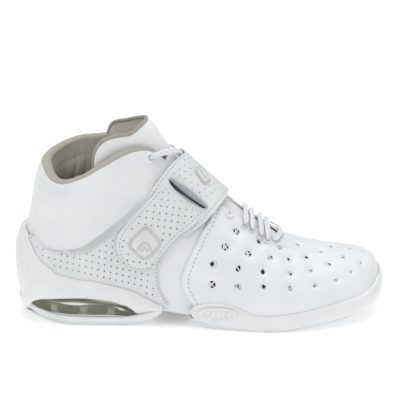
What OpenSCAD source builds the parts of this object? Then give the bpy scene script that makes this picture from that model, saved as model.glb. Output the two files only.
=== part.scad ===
// Basketball high top, right foot. Toe towards +X, lateral side towards -Y, sole on Z = 0.
// Every shell is laid out on one reference surface, the last, and stands at its own depth from it.

/* [Shoe] */
// Length from the back of the heel to the toe
shoe_length = 306; // [270:1:330]
// Thickness of the sockliner under the foot
sockliner_t = 4; // [3:0.5:5]

/* [Upper] */
// Thickness of the leather quarters
leather_t = 1.6; // [1.2:0.1:1.7]
// Thickness of the forefoot cage and the side panels
cage_t = 1.6; // [1.2:0.1:1.7]
// Diameter of the largest vent in the cage
vent_d = 5.2; // [3:0.2:5.6]
// Depth of the collar padding round the ankle
collar_pad = 8.6; // [8:0.2:11]

/* [Tongue and lacing] */
// Thickness of the foam in the tongue
tongue_foam_t = 4.4; // [3:0.2:5]
// Width of the flat lace
lace_w = 5.2; // [4:0.2:6]
// Outer diameter of an eyelet
eyelet_d = 9; // [7:0.5:9.5]

/* [Strap] */
// Thickness of the strap and the instep band
strap_t = 1.8; // [1.2:0.1:1.8]
// Side of the square badge on the strap
badge_w = 21; // [16:1:22]

/* [Sole] */
// Depth of the tread grooves
tread_depth = 2; // [1:0.25:2.5]
// Spacing of the tread grooves
tread_pitch = 9; // [7:0.5:14]
// Diameter of the columns in the air unit
column_d = 11; // [8:1:12]

/* [Hidden] */

// The design is drawn at 306 mm with the heel near X = 0, then scaled and centred
DESIGN_LENGTH = 306;
CENTRE = [153.45, -0.73];
SCALE = shoe_length / DESIGN_LENGTH;

// Cuts across the last, from the toe over the foot and down to the heel, then up the ankle:
// lower point x z, upper point x z, middle y, lateral and medial half widths,
// height of the widest point, angle at which the lower edge closes, roundness below
SECTIONS = [
    [299.5, 39, 299, 41, 6, 2, 2, 0.50, 180, 2.0],
    [301, 28, 294, 45, 6, 15, 14, 0.45, 180, 2.2],
    [299.5, 18, 288, 47, 6, 25, 23, 0.40, 179, 2.4],
    [292.5, 11.5, 279, 49, 5, 35, 32, 0.36, 178, 2.6],
    [275, 7, 263, 51, 4, 44, 40, 0.33, 110, 2.6],
    [250, 3.5, 244, 54, 3, 50, 46, 0.31, 98, 2.2],
    [222, 2.5, 222, 62, 1, 52, 48, 0.29, 97, 2.0],
    [194, 3, 201, 76, 0, 50, 45, 0.27, 97, 2.0],
    [164, 4, 181, 92, 0, 45, 40, 0.27, 97, 2.0],
    [130, 7, 163, 108, 0, 40, 36, 0.28, 97, 2.0],
    [90, 7, 148, 122, 0, 38, 36, 0.28, 99, 2.0],
    [48, 5, 136, 134, 0, 37, 36, 0.30, 104, 2.4],
    [11, 8, 128, 143, 0, 36, 35, 0.33, 178, 3.0],
    [8, 24, 122, 151, 0, 35, 34, 0.35, 180, 3.0],
    [7, 45, 118, 158, 0, 35, 34, 0.37, 180, 2.6],
    [9.5, 72, 114, 164, 0, 35, 34, 0.39, 180, 2.3],
    [15, 100, 110, 170, 0, 35, 34, 0.42, 180, 2.2],
    [22, 126, 105, 178, 0, 34, 34, 0.44, 180, 2.1],
    [26, 140, 100, 186, 0, 34, 34, 0.45, 180, 2.0]
];
// Share of v from the top line down to the widest point
WALL = 0.65;

// Depths of the layers, measured outwards from the last
CAGE_IN = 0.6;
STRAP_ROOT_IN = 2.6;
BAND_IN = 4.9;
BAND_LOW_IN = 2.6;
LOOP_PATCH = [2.5, 3.4];
HOOK_PATCH = [3.7, 4.9];
STRAP_IN = 5.2;
STRAP_OUT = STRAP_IN + strap_t;
SHELL_IN = 2.7;

// Lower edge of the upper along the sole, as x and z
SOLE_LINE = [
    [8, 26], [60, 26], [78, 24.2], [95, 22], [108, 18.8], [121, 15.5], [132, 13.6], [143, 12],
    [164, 10.6], [180, 10], [220, 9.5], [250, 10.5], [275, 13.5], [296, 18.2]
];
// The same height at each cut of the last, for the outline of the boards
BOARD_Z = [24, 24, 21, 17.5, 13.5, 10.5, 9.5, 9.8, 10.6, 14, 22, 26, 26, 26, 26];

// Collar edge from the lateral throat round the heel to the medial throat, as u and v
COLLAR = [
    [12.8, -0.171], [13.9, -0.245], [14.8, -0.345], [15.3, -0.47], [15.6, -0.6], [16.0, -0.715],
    [16.6, -0.83], [17.1, -0.92], [17.3, -1], [17.25, -1.08], [17.1, -1.17], [16.8, -1.285],
    [16.35, -1.4], [15.8, -1.53], [15.0, -1.655], [14.0, -1.755], [12.9, -1.829]
];
// Rear and throat edge of the cage, from the sole to the middle of the throat
CAGE_REAR = [
    [8.52, -0.785], [8.64, -0.76], [8.77, -0.727], [8.94, -0.679], [9.1, -0.623], [9.11, -0.572],
    [9.09, -0.515], [9.03, -0.454], [8.95, -0.378], [8.85, -0.314], [8.8, -0.25], [8.78, -0.2],
    [8.66, -0.155], [7.8, -0.14], [7.2, -0.13], [6.7, -0.115], [6.35, -0.08], [6.15, -0.04],
    [6.1, 0]
];
BOOTIE_REAR = [
    [8.05, -0.785], [8.05, -0.66], [8.05, -0.53], [8.05, -0.4], [8.05, -0.28], [8.05, -0.16],
    [7.5, -0.145], [6.8, -0.13], [6.3, -0.08], [6.0, 0]
];
// Vents on the lateral half, as u and v, then those on the middle line
VENTS = [
    [8.25, -0.6], [7.5, -0.565], [6.7, -0.52], [5.8, -0.485], [4.95, -0.45], [4.1, -0.42],
    [3.3, -0.36], [2.4, -0.28], [8.35, -0.5], [7.55, -0.465], [6.75, -0.42], [5.8, -0.365],
    [5.05, -0.32], [4.25, -0.25], [3.5, -0.17], [8.1, -0.385], [7.3, -0.35], [6.5, -0.3],
    [5.8, -0.25], [5.15, -0.19], [4.5, -0.1], [7.8, -0.255], [6.95, -0.225], [6.15, -0.17],
    [5.45, -0.06]
];
MIDDLE_VENTS = [[1.7, 0], [3.0, 0], [4.0, 0]];

// Edges of the band over the instep, from its lateral end to the middle
BAND_BACK = [[11.15, -0.39], [11.4, -0.335], [11.48, -0.28], [11.4, -0.2], [11.15, -0.1], [10.9, 0]];
BAND_FRONT = [[9.45, -0.435], [9.18, -0.38], [8.97, -0.32], [8.7, -0.21], [8.5, -0.1], [8.42, 0]];
// Edges of the fixed part of the strap, from the medial side under the band to the slot
ROOT_BACK = [
    [11.1, 0.66], [11.25, 0.55], [11.3, 0.42], [11.2, 0.3], [11.0, 0.15], [10.75, 0],
    [10.85, -0.12], [10.92, -0.19]
];
ROOT_FRONT = [
    [9.85, 0.66], [9.72, 0.55], [9.5, 0.42], [9.2, 0.3], [8.9, 0.15], [8.75, 0], [8.9, -0.12],
    [9.02, -0.195]
];
// Edges of the free end of the strap, from the slot to the tip
TIP_BACK = [
    [10.95, -0.285], [11.25, -0.315], [11.3, -0.35], [11.39, -0.39], [11.57, -0.45],
    [11.68, -0.49], [11.5, -0.53], [11.15, -0.556], [10.75, -0.578], [10.5, -0.588]
];
TIP_FRONT = [
    [9.12, -0.3], [9.2, -0.32], [9.28, -0.345], [9.42, -0.39], [9.62, -0.43], [9.76, -0.47],
    [9.86, -0.505], [9.94, -0.55], [10.05, -0.575], [10.25, -0.59]
];
PATCH_BACK = [[11.3, -0.46], [11.35, -0.49], [11.1, -0.525], [10.85, -0.548]];
PATCH_FRONT = [[9.95, -0.46], [9.95, -0.49], [10.0, -0.525], [10.2, -0.55]];
// Slot in the band, from its rear end to its front end
SLOT = [[11.05, -0.251], [10.0, -0.263], [9.16, -0.273]];
SLOT_HALF = 2.2;

// Edge of the tongue above the throat, from the lateral wing to the middle
TONGUE_TOP = [[16.2, -0.54], [16.65, -0.46], [16.3, -0.35], [16.0, -0.23], [15.5, -0.11], [15.55, 0]];
TONGUE_LOW = [[14.6, -0.54], [14.0, -0.45], [13.4, -0.35], [12.9, -0.23], [12.6, -0.11], [12.5, 0]];

// Lace rows across the throat: u, depth at the eyelets, half thickness
LACE_ROWS = [
    [10.2, 1.6, 0.6], [9.3, 1.6, 0.6], [7.6, 5.5, 1.0], [7.33, 5.5, 1.0], [6.98, 5.5, 1.0],
    [6.72, 5.5, 1.0]
];
// Top of the lace, from its eyelet to where it runs under the band: u, v, depth
TOP_LACE = [[12.8, -0.22, 3.1], [12.1, -0.14, 3.4], [11.4, -0.07, 3.6], [11.05, -0.03, 3.6]];
// Eyelets on each side of the throat: u, v, depth of the underside, diameter, height
EYELETS = [
    [12.8, 0.22, 0.4, eyelet_d, 0.8], [10.2, 0.19, 0.3, 5, 0.3], [9.3, 0.19, 0.3, 5, 0.3],
    [8.2, 0.19, 2.9, 7, 0.8], [7.6, 0.19, 2.9, 5, 0.8], [7.33, 0.19, 2.9, 5, 0.8],
    [6.98, 0.19, 2.9, 5, 0.8], [6.72, 0.19, 2.9, 5, 0.8]
];
LACE_V = 0.19;

// Arithmetic
function mix(a, b, t) = a + (b - a) * t;
function unit(v) = v / norm(v);
function clamp(x, lo, hi) = min(max(x, lo), hi);
function smooth(t) = let (c = clamp(t, 0, 1)) c * c * (3 - 2 * c);
function reverse(list) = [for (i = [len(list) - 1:-1:0]) list[i]];
function flatten(lists) = [for (list = lists) each list];

// Smooth value of a table of numbers or rows at x, which counts rows from 0
function spline(table, x) =
    let (n = len(table) - 1, i = clamp(floor(x), 0, n - 1), t = x - i,
         b = table[i], c = table[i + 1],
         a = i > 0 ? table[i - 1] : 2 * b - c,
         d = i + 2 <= n ? table[i + 2] : 2 * c - b)
    0.5 * (2 * b + (c - a) * t + (2 * a - 5 * b + 4 * c - d) * t * t
           + (3 * b - 3 * c + d - a) * t * t * t);

// The last. u runs along the cuts; v is 0 on the top line and 1 or -1 underneath, medial plus
function edge_normal(u, k, side) =
    let (a = spline(SECTIONS, max(u - 0.05, 0)),
         b = spline(SECTIONS, min(u + 0.05, len(SECTIONS) - 1)),
         d = unit([b[k] - a[k], b[k + 1] - a[k + 1]]))
    side * [-d[1], d[0]];
function turned(v) = v < -1 ? v + 2 : v > 1 ? v - 2 : v;
function last(u, v, depth = 0) =
    let (s = spline(SECTIONS, u), closing = min(s[8], 180), w = turned(v), a = abs(w),
         low = [s[0], s[1]] - depth * cos(closing) * edge_normal(u, 0, 1),
         high = [s[2], s[3]] + depth * edge_normal(u, 2, -1),
         q = sin(90 * (a - WALL) / (1 - WALL)),
         h = a <= WALL ? s[7] + (1 - s[7]) * cos(90 * a / WALL) : s[7] * (1 - q),
         g = a <= WALL ? sin(90 * a / WALL)
             : pow(max(0, 1 - pow(abs(cos(closing) * q), s[9])), 1 / s[9]),
         p = mix(high, low, 1 - h))
    [p[0], s[4] + sign(w) * ((w < 0 ? s[5] : s[6]) + depth) * g, p[1]];
function v_at(u, z) =
    let (s = spline(SECTIONS, u), m = s[7], h = clamp((z - s[1]) / (s[3] - s[1]), 0, 1))
    h >= m ? WALL * acos((h - m) / (1 - m)) / 90 : WALL + (1 - WALL) * asin(1 - h / m) / 90;
function foot(u, z) = [u, -v_at(u, z)];
function outward(u, v, depth) =
    unit(cross(last(u, v + 0.005, depth) - last(u, v - 0.005, depth),
               last(u + 0.05, v, depth) - last(u - 0.05, v, depth)));

// Ribs are rows of u and v points; a grid lays points on the last at a depth
function rib(a, b) = concat(a, b);
function bent(a, b, c, d) = concat(a, b, c, d);
function straight(a, b) = concat(a, mix(a, b, 1 / 3), mix(a, b, 2 / 3), b);
function edge(points) = flatten(points);
function both_sides(points) =
    concat(points, [for (i = [len(points) - 2:-1:0]) [points[i][0], -points[i][1]]]);
function medial(ribs) =
    [for (r = ribs) [for (k = [0:len(r) - 1]) k % 2 == 0 ? r[k] : -r[k]]];
function around(ribs) =
    concat(ribs, [for (i = [len(ribs) - 2:-1:0])
        [for (k = [0:len(ribs[i]) - 1]) k % 2 == 0 ? ribs[i][k] : -2 - ribs[i][k]]]);
function on_rib(r, t) =
    spline([for (k = [0:2:len(r) - 1]) [r[k], r[k + 1]]], t * (len(r) / 2 - 1));
function depth_at(depth, t, v) =
    is_function(depth) ? depth(t, v) : is_list(depth) ? spline(depth, t * (len(depth) - 1)) : depth;
function grid(ribs, n, m, depth) =
    [for (i = [0:n]) let (r = spline(ribs, i / n * (len(ribs) - 1)))
        [for (j = [0:m]) let (p = on_rib(r, j / m)) last(p[0], p[1], depth_at(depth, j / m, p[1]))]];

// Closed shell between an outer and an inner grid of the same size; a capped shell is also
// closed across the first point of every row, as at the toe
module shell(outer, inner, capped = false) {
    rows = len(outer);
    cols = len(outer[0]);
    inside = rows * cols;
    i0 = floor(rows / 2);
    j0 = floor(cols / 2);
    facing = cross(outer[i0][j0] - outer[i0 - 1][j0], outer[i0][j0] - outer[i0][j0 - 1])
        * (outer[i0][j0] - inner[i0][j0]);
    function at(i, j) = i * cols + j;
    function quad(a, b, c, d) = [[a, b, c], [a, c, d]];
    skins = [for (i = [0:rows - 2], j = [0:cols - 2]) let (
        a = at(i, j), b = at(i + 1, j), c = at(i + 1, j + 1), d = at(i, j + 1))
        each concat(quad(a, b, c, d), quad(inside + a, inside + d, inside + c, inside + b))];
    ends = [for (i = [0:rows - 2]) let (
        a = at(i, 0), b = at(i + 1, 0), c = at(i + 1, cols - 1), d = at(i, cols - 1))
        each concat(capped ? [] : quad(b, a, inside + a, inside + b),
                    quad(d, c, inside + c, inside + d))];
    sides = [for (j = [0:cols - 2]) let (
        a = at(0, j), d = at(0, j + 1), b = at(rows - 1, j), c = at(rows - 1, j + 1))
        each concat(quad(a, d, inside + d, inside + a), quad(c, b, inside + b, inside + c))];
    caps = !capped ? [] : concat(
        [[for (i = [rows - 1:-1:0]) at(i, 0)]], [[for (i = [0:rows - 1]) inside + at(i, 0)]],
        quad(at(rows - 1, 0), at(0, 0), inside + at(0, 0), inside + at(rows - 1, 0)));
    faces = concat(skins, ends, sides, caps);
    polyhedron(points = concat(flatten(outer), flatten(inner)),
               faces = facing > 0 ? [for (f = faces) reverse(f)] : faces);
}

// Sheet on the last between two depths
module sheet(ribs, n, m, from, to) {
    shell(grid(ribs, n, m, to), grid(ribs, n, m, from));
}

// Closed tube along a path; across points along each ring's half size a, b lies beside it
module tube(path, across, a, b, sides = 8) {
    n = len(path);
    rings = [for (i = [0:n - 1]) let (
        t = unit(path[min(i + 1, n - 1)] - path[max(i - 1, 0)]),
        p = unit(across[i] - (across[i] * t) * t), q = cross(t, p),
        half_a = is_list(a) ? a[i] : a, half_b = is_list(b) ? b[i] : b)
        each [for (k = [0:sides - 1])
            path[i] + half_a * cos(360 * k / sides) * p + half_b * sin(360 * k / sides) * q]];
    walls = [for (i = [0:n - 2], k = [0:sides - 1]) let (
        c = i * sides + k, d = i * sides + (k + 1) % sides)
        each [[c, d + sides, d], [c, c + sides, d + sides]]];
    polyhedron(points = rings,
               faces = concat(walls, [[for (k = [0:sides - 1]) k]],
                              [[for (k = [sides - 1:-1:0]) (n - 1) * sides + k]]));
}

// Tube that lies on the last along points of u, v and depth
module ribbon(points, n, a, b, sides = 8) {
    route = [for (i = [0:n]) spline(points, i / n * (len(points) - 1))];
    tube([for (p = route) last(p[0], p[1], p[2])], [for (p = route) outward(p[0], p[1], p[2])],
         a, b, sides);
}

// Children standing on the last with +Z outwards
module on_last(u, v, depth) {
    n = outward(u, v, depth);
    translate(last(u, v, depth)) rotate([0, acos(n[2]), atan2(n[1], n[0])]) children();
}

// Point of u and v that lies x forwards and y upwards of another along the surface
function beside(u, v, x, y) =
    let (n = outward(u, v, 0), ahead = unit([1, 0, 0] - n[0] * n), up = cross(n, ahead),
         w = x * ahead + y * (up[2] < 0 ? -up : up),
         pu = (last(u + 0.05, v) - last(u - 0.05, v)) / 0.1,
         pv = (last(u, v + 0.01) - last(u, v - 0.01)) / 0.02,
         uu = pu * pu, vv = pv * pv, uv = pu * pv, det = uu * vv - uv * uv)
    [u + (vv * (w * pu) - uv * (w * pv)) / det, v + (uu * (w * pv) - uv * (w * pu)) / det];

// Rounded square or oval plate that follows the last; rise lifts the rim
module plate(u, v, w, h, turn, from, to, rise, cells = 8) {
    function rounded(s, t) = [s * sqrt(1 - t * t / 3), t * sqrt(1 - s * s / 3)];
    function spot(i, j) = rounded(2 * i / cells - 1, 2 * j / cells - 1);
    function level(i, j) =
        rise * smooth((max(abs(2 * i / cells - 1), abs(2 * j / cells - 1)) - 0.55) / 0.3);
    function laid(i, j, depth) =
        let (p = spot(i, j), x = p[0] * w / 2, y = p[1] * h / 2,
             q = beside(u, v, x * cos(turn) - y * sin(turn), x * sin(turn) + y * cos(turn)))
        last(q[0], q[1], depth);
    shell([for (i = [0:cells]) [for (j = [0:cells]) laid(i, j, to + level(i, j))]],
          [for (i = [0:cells]) [for (j = [0:cells]) laid(i, j, from)]]);
}

// Slab of the sole: a plan outline, cut to a side profile
module slab(plan, profile) {
    intersection() {
        translate([0, 0, -1]) linear_extrude(60) polygon(plan);
        rotate([90, 0, 0]) translate([0, 0, -80]) linear_extrude(160) polygon(profile);
    }
}
function outline(z, depth, u_from, u_to, n) =
    let (us = [for (i = [0:n]) mix(u_from, u_to, i / n)],
         near = [for (u = us) let (p = last(u, -v_at(u, z), depth)) [p[0], p[1]]],
         far = [for (u = us) let (p = last(u, v_at(u, z), depth)) [p[0], p[1]]])
    concat(near, reverse(far));
function board_outline(depth) =
    let (us = [for (i = [0:36]) mix(2.3, 13.02, i / 36)],
         near = [for (u = us) let (p = last(u, -v_at(u, spline(BOARD_Z, u)), depth)) [p[0], p[1]]],
         far = [for (u = us) let (p = last(u, v_at(u, spline(BOARD_Z, u)), depth)) [p[0], p[1]]])
    concat(near, reverse(far));
function layer(lo, hi) =
    concat([for (p = SOLE_LINE) [p[0], p[1] + lo]], reverse([for (p = SOLE_LINE) [p[0], p[1] + hi]]));

// Chevron grooves under the sole between two stations, a reach to each side of the middle
module tread(x_from, x_to, reach) {
    groove = 2.2;
    for (x = [x_from:tread_pitch:x_to])
        translate([x, 0, -1]) linear_extrude(tread_depth + 1)
            polygon(concat(
                [for (k = [-3:3]) [k % 2 == 0 ? 0 : 4, k * reach / 3]],
                [for (k = [3:-1:-3]) [(k % 2 == 0 ? 0 : 4) + groove, k * reach / 3]]));
}

module placed() scale(SCALE) translate([-CENTRE[0], -CENTRE[1], 0]) children();

// Sole
module outsole_heel() color("whitesmoke") placed() difference() {
    slab(outline(9.5, 3.6, 9.3, 12.06, 18), [
        [3, 4.2], [10, 3.4], [19, 2.4], [28, 1], [40, 0], [96, 0], [104, 1.2], [112, 4.2], [119, 8.6],
        [119, 10.8], [112, 8], [104, 5.3], [96, 4.2]
    ]);
    tread(28, 50, 31);
    tread(72, 88, 31);
}
module outsole_forefoot() color("whitesmoke") placed() difference() {
    slab(outline(16, 4.2, 8.7, 2.3, 30), [
        [145, 8.2], [148, 5], [152, 2.4], [158, 0.6], [164, 0], [214, 0], [224, 0.6], [236, 2.2],
        [250, 4.4], [264, 6.4], [278, 8.4], [290, 10.6], [298, 13.6], [303, 17], [307, 21],
        [305, 23], [302, 19.6], [297, 16.6], [289, 13.8], [277, 11.7], [263, 9.8], [249, 7.8],
        [235, 5.7], [223, 4.2], [213, 3.6], [165, 3.6], [159, 4.1], [154, 5.6], [150.5, 8.2]
    ]);
    tread(166, 180, 40);
    tread(206, 216, 42);
    translate([193, 0, -1]) difference() {
        cylinder(d = 30, h = tread_depth + 1);
        translate([0, 0, -1]) cylinder(d = 26, h = tread_depth + 3);
    }
}
module heel_tray() color("gainsboro") placed()
    slab(outline(9.5, 4.9, 9.33, 12.06, 18), [
        [2, 4.5], [96, 4.5], [104, 5.6], [112, 8.3], [118, 10.9], [118, 12.4], [111, 10.2],
        [103, 8.1], [96, 7.3], [2, 7.3]
    ]);
module air_unit() color("darkseagreen", 0.6) placed() difference() {
    slab(outline(15, 0.2, 9.75, 12.4, 18), [
        [13, 12], [13.8, 11], [14.6, 9], [17, 7.6], [95, 7.6], [99.5, 8.4], [100.5, 11], [98, 15], [92, 18.5],
        [84, 20.6], [72, 21.6], [24, 21.6], [16, 20.5], [13.2, 17]
    ]);
    slab(outline(15, -1.6, 9.85, 12.3, 18), [
        [16, 9.4], [95, 9.4], [96, 13], [90, 17], [82, 19], [72, 19.8], [24, 19.8], [16.5, 18]
    ]);
}
module air_columns() color("honeydew") placed()
    for (x = [30, 43, 55, 66], y = [-17, 17])
        translate([x, y, 9.4]) cylinder(d = column_d, h = 10.4);
module heel_foam() color("white") placed()
    slab(outline(15, 0.2, 9.4, 12.4, 18), [
        [4, 22], [72, 22], [85, 21], [93, 18.9], [99, 15.4], [101.2, 11.4], [101.4, 8.3], [104, 8.7],
        [112, 10.9], [112, 14.2], [94, 18.8], [93.8, 21.8], [78, 23.8], [60, 25.6], [4, 25.6]
    ]);
module shank_plate() color("dimgray") placed()
    slab(outline(15, -3, 10.1, 7.7, 12), [
        [96, 18.4], [121, 12.2], [143, 8.9], [170, 7.3], [170, 9.9], [143, 11.6], [121, 15.1],
        [96, 21.3]
    ]);
module forefoot_midsole() color("white") placed()
    slab(board_outline(-2.6), [
        [152, 7.8], [155, 6], [160, 4.5], [165, 3.9], [213, 3.9], [223, 4.5], [235, 6],
        [249, 8.1], [263, 10.1], [277, 12], [289, 14.1], [296, 16.6], [296, 17.7], [289, 16.4],
        [275, 13.1], [250, 10.1], [220, 9.1], [180, 9.6], [171, 9.8], [170.8, 7], [152, 8]
    ]);

CARRIER = around([
    rib(foot(9.25, 13.8), [9.3, -0.81]), rib(foot(9.7, 11.2), [9.91, -0.732]),
    rib(foot(10.2, 9.4), [10.44, -0.7]), rib(foot(10.7, 9.2), [10.97, -0.687]),
    rib(foot(11.15, 9.6), [11.49, -0.687]), rib(foot(11.45, 10.2), [11.94, -0.692]),
    rib(foot(11.7, 10.6), [12.48, -0.72]), rib(foot(11.85, 10.6), [13.52, -0.779]),
    rib(foot(11.96, 10.4), [14.37, -0.833]), rib(foot(12.04, 10.2), [14.89, -0.867]),
    rib(foot(12.12, 10), [15.36, -0.91]), rib([12.2, -1], [15.6, -1])
]);
// Outer depth of the carrier, fuller towards its top at the back of the heel
CARRIER_OUT = [3.6, 4.4, 5.6, 6.6, 7, 6.4, 5.2, 3.6];
CARRIER_BACK = [0, 0, 0, 0, 0.2, 1.4, 2.6, 1.6];
function carrier_out(t, v) = spline(CARRIER_OUT, 7 * t)
    + spline(CARRIER_BACK, 7 * t) * smooth((abs(turned(v)) - 0.87) / 0.1);
module heel_carrier() color("white") placed() resize([0, 0, 0]) difference() {
    shell(grid(CARRIER, 36, 8, function(t, v) carrier_out(t, v)),
          grid(CARRIER, 36, 8, SHELL_IN));
    rotate([90, 0, 0]) translate([0, 0, -80]) linear_extrude(160) polygon([
        [12.5, 5], [12.8, 9], [15, 13.4], [19, 17.2], [25, 20], [36, 21.6], [59, 21.6], [72, 20.6],
        [81, 19], [91, 15.6], [98, 11.4], [101, 8], [101, 5]
    ]);
}

RAND = around([
    rib(foot(8.62, 12.6), [8.66, -0.785]), rib(foot(8.4, 9.4), [8.4, -0.74]),
    rib(foot(8.15, 7.2), [8.15, -0.714]), rib(foot(7.85, 5.7), [7.85, -0.697]),
    rib(foot(7.5, 5.1), [7.52, -0.7]), rib(foot(7.2, 4.9), [7.22, -0.722]),
    rib(foot(6.85, 4.9), [6.9, -0.75]), rib(foot(6.4, 4.9), [6.45, -0.747]),
    rib(foot(6.0, 5.4), [6.02, -0.727]), rib(foot(5.6, 6.7), [5.62, -0.707]),
    rib(foot(5.15, 8.4), [5.2, -0.683]), rib(foot(4.65, 10.6), [4.68, -0.66]),
    rib(foot(4.1, 13.2), [4.09, -0.648]), rib(foot(3.6, 15.8), [3.6, -0.643]),
    rib(foot(3.15, 18), [3.03, -0.645]), rib(foot(2.75, 19), [2.45, -0.655]),
    rib(foot(2.4, 20.6), [1.87, -0.68]), rib(foot(2.1, 21.8), [1.35, -0.73]),
    rib(foot(1.85, 22.6), [1.02, -0.8]), rib([1.66, -1], [0.82, -1])
]);
module forefoot_rand() color("white") placed()
    sheet(RAND, 52, 5, SHELL_IN, [5.6, 6, 6, 5.6, 5, 4.4, 3.5]);
module sole_badge() color("lightgray") placed()
    plate(7.94, -0.785, 30, 8, 2, 6.4, 7, 0.6);

module strobel_board() color("gray") placed()
    slab(board_outline(-2.6), layer(0, 1.5));
module sockliner() color("lightgray") placed()
    slab(board_outline(-6.2), layer(1.9, 1.9 + sockliner_t));

// Upper
function quarter_ribs(top) = [
    rib(foot(8.2, 10.8), [8.2, -0.14]), rib(foot(8.9, 13.2), [9.2, -0.14]),
    rib(foot(9.5, 17.4), [10.4, -0.14]), rib(foot(10.1, 22.4), [11.6, -0.145]),
    rib(foot(10.7, 25.4), top[0]), rib(foot(11.2, 26.4), top[1]), rib(foot(11.6, 26.4), top[2]),
    rib(foot(12.0, 26.4), top[3]), rib(foot(12.35, 26.4), top[4]), rib(foot(12.7, 26.4), top[5]),
    rib(foot(12.95, 26.4), top[6]), rib(foot(13.07, 26.4), top[7]), rib([13.13, -1], top[8])
];
LATERAL_TOP = [for (i = [0:8]) COLLAR[i]];
MEDIAL_TOP = [for (i = [0:8]) [COLLAR[16 - i][0], -2 - COLLAR[16 - i][1]]];
module quarter_lateral() color("white") placed()
    sheet(quarter_ribs(LATERAL_TOP), 20, 10, -leather_t, 0);
module quarter_medial() color("white") placed()
    sheet(medial(quarter_ribs(MEDIAL_TOP)), 20, 10, -leather_t, 0);
module heel_counter() color("burlywood") placed()
    sheet(around([
        rib(foot(11.5, 28), [13.2, -0.62]), rib(foot(12.0, 28), [13.9, -0.7]),
        rib(foot(12.5, 28), [14.5, -0.8]), rib(foot(12.9, 28), [14.9, -0.9]),
        rib([13.2, -1], [15.05, -1])
    ]), 20, 5, -3.7, -2.1);
module heel_lining() color("darkgray") placed()
    sheet(around([
        rib(foot(10.6, 34), [12.4, -0.5]), rib(foot(11.6, 34), [13.4, -0.66]),
        rib(foot(12.3, 34), [14.1, -0.78]), rib(foot(12.9, 34), [14.6, -0.9]),
        rib([13.5, -1], [14.8, -1])
    ]), 20, 5, -5, -4.2);

// Depth of the padding round the collar, thin at the throat and full at the ankle
function pad(v) = mix(3, collar_pad, smooth((min(abs(turned(v)), 1) - 0.2) / 0.3));
function foam_in(t, v) = -mix(3, pad(v) - 1.2, smooth(3 * t));
function lining_out(t, v) = -mix(3.9, pad(v) - 0.8, smooth(2.4 * t));
PADDED_COLLAR = [for (i = [2:14]) COLLAR[i]];
module collar_foam() color("khaki") placed()
    sheet([for (p = PADDED_COLLAR) rib([p[0] - 1.8, p[1]], [p[0] - 0.08, p[1]])], 26, 5,
          function(t, v) foam_in(t, v), -2.2);
module collar_lining() color("darkgray") placed()
    sheet([for (p = PADDED_COLLAR) rib([p[0] - 2.2, p[1]], [p[0] - 0.08, p[1]])], 26, 5,
          function(t, v) lining_out(t, v) - 0.8, function(t, v) lining_out(t, v));
module collar_rim() color("darkgray") placed() {
    n = 38;
    uv = [for (i = [0:n]) spline(COLLAR, i / n * (len(COLLAR) - 1))];
    half = [for (p = uv) pad(p[1]) / 2];
    firm = [for (p = uv) smooth((min(abs(turned(p[1])), 1) - 0.17) / 0.25)];
    on_edge = [for (i = [0:n]) last(uv[i][0], uv[i][1], 0.1 - half[i])];
    out = [for (i = [0:n]) outward(uv[i][0], uv[i][1], -half[i])];
    path = [for (i = [0:n]) let (
        t = unit(on_edge[min(i + 1, n)] - on_edge[max(i - 1, 0)]), up = unit(cross(out[i], t)))
        on_edge[i] + mix(2.1, 3.4, firm[i]) * (up[2] < 0 ? -up : up)];
    tube(path, out, half, [for (f = firm) mix(1.7, 2.5, f)], 10);
}

function panel_ribs(front) = [
    straight([14.95, -0.93], [15.12, -0.908]), straight([14.6, -0.9], [14.77, -0.855]),
    straight([14.0, -0.86], [14.2, -0.789]), straight([13.2, -0.82], [13.5, -0.724]),
    straight([12.4, -0.79], [12.75, -0.66]), straight([11.8, -0.77], [12.15, -0.609]),
    straight([11.3, -0.77], [11.82, -0.57]), straight([10.9, -0.78], [11.62, -0.51]),
    straight([10.5, -0.8], [11.56, -0.436]), straight([10.1, -0.82], [11.5, -0.36]),
    straight([9.7, -0.83], [11.45, -0.315]),
    bent([9.35, -0.82], [9.85, -0.66], [10.2, -0.54], [10.6, -0.33]), front
];
PANEL_FRONT = bent([9.15, -0.81], [9.6, -0.665], [9.8, -0.55], [9.4, -0.41]);
module side_panel_lateral() color("white") placed()
    sheet(panel_ribs(PANEL_FRONT), 22, 7, CAGE_IN, CAGE_IN + cage_t);
module side_panel_medial() color("white") placed()
    sheet(medial(panel_ribs(PANEL_FRONT)), 22, 7, CAGE_IN, CAGE_IN + cage_t);

function toe_ribs(points, u_toe) =
    [for (p = both_sides(points)) rib([u_toe, p[1]], [p[0], p[1]])];
module toe_puff() color("burlywood") placed()
    sheet([for (i = [0:4]) let (v = mix(-0.7, 0.7, i / 4)) rib([0.9, v], [3.4, v])], 12, 4, -3.2, -2.2);
module vamp_bootie() color("dimgray") placed()
    shell(grid(toe_ribs(BOOTIE_REAR, 0.1), 22, 10, -0.5),
          grid(toe_ribs(BOOTIE_REAR, 0.5), 22, 10, -1.6), true);
module vent(u, v, d)
    on_last(u, v, CAGE_IN + cage_t / 2) cylinder(d = d, h = 4 * cage_t, center = true, $fn = 8);
module forefoot_cage() color("white") placed() resize([0, 0, 0]) difference() {
    columns = 2 * len(CAGE_REAR) - 2;
    shell(grid(toe_ribs(CAGE_REAR, 0), columns, 12, CAGE_IN + cage_t),
          grid(toe_ribs(CAGE_REAR, 0.4), columns, 12, CAGE_IN), true);
    for (p = VENTS, side = [1, -1])
        vent(p[0], side * p[1], vent_d * mix(0.35, 1, p[0] / 8.3));
    for (p = MIDDLE_VENTS)
        vent(p[0], p[1], vent_d * mix(0.35, 1, p[0] / 8.3));
}

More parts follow.
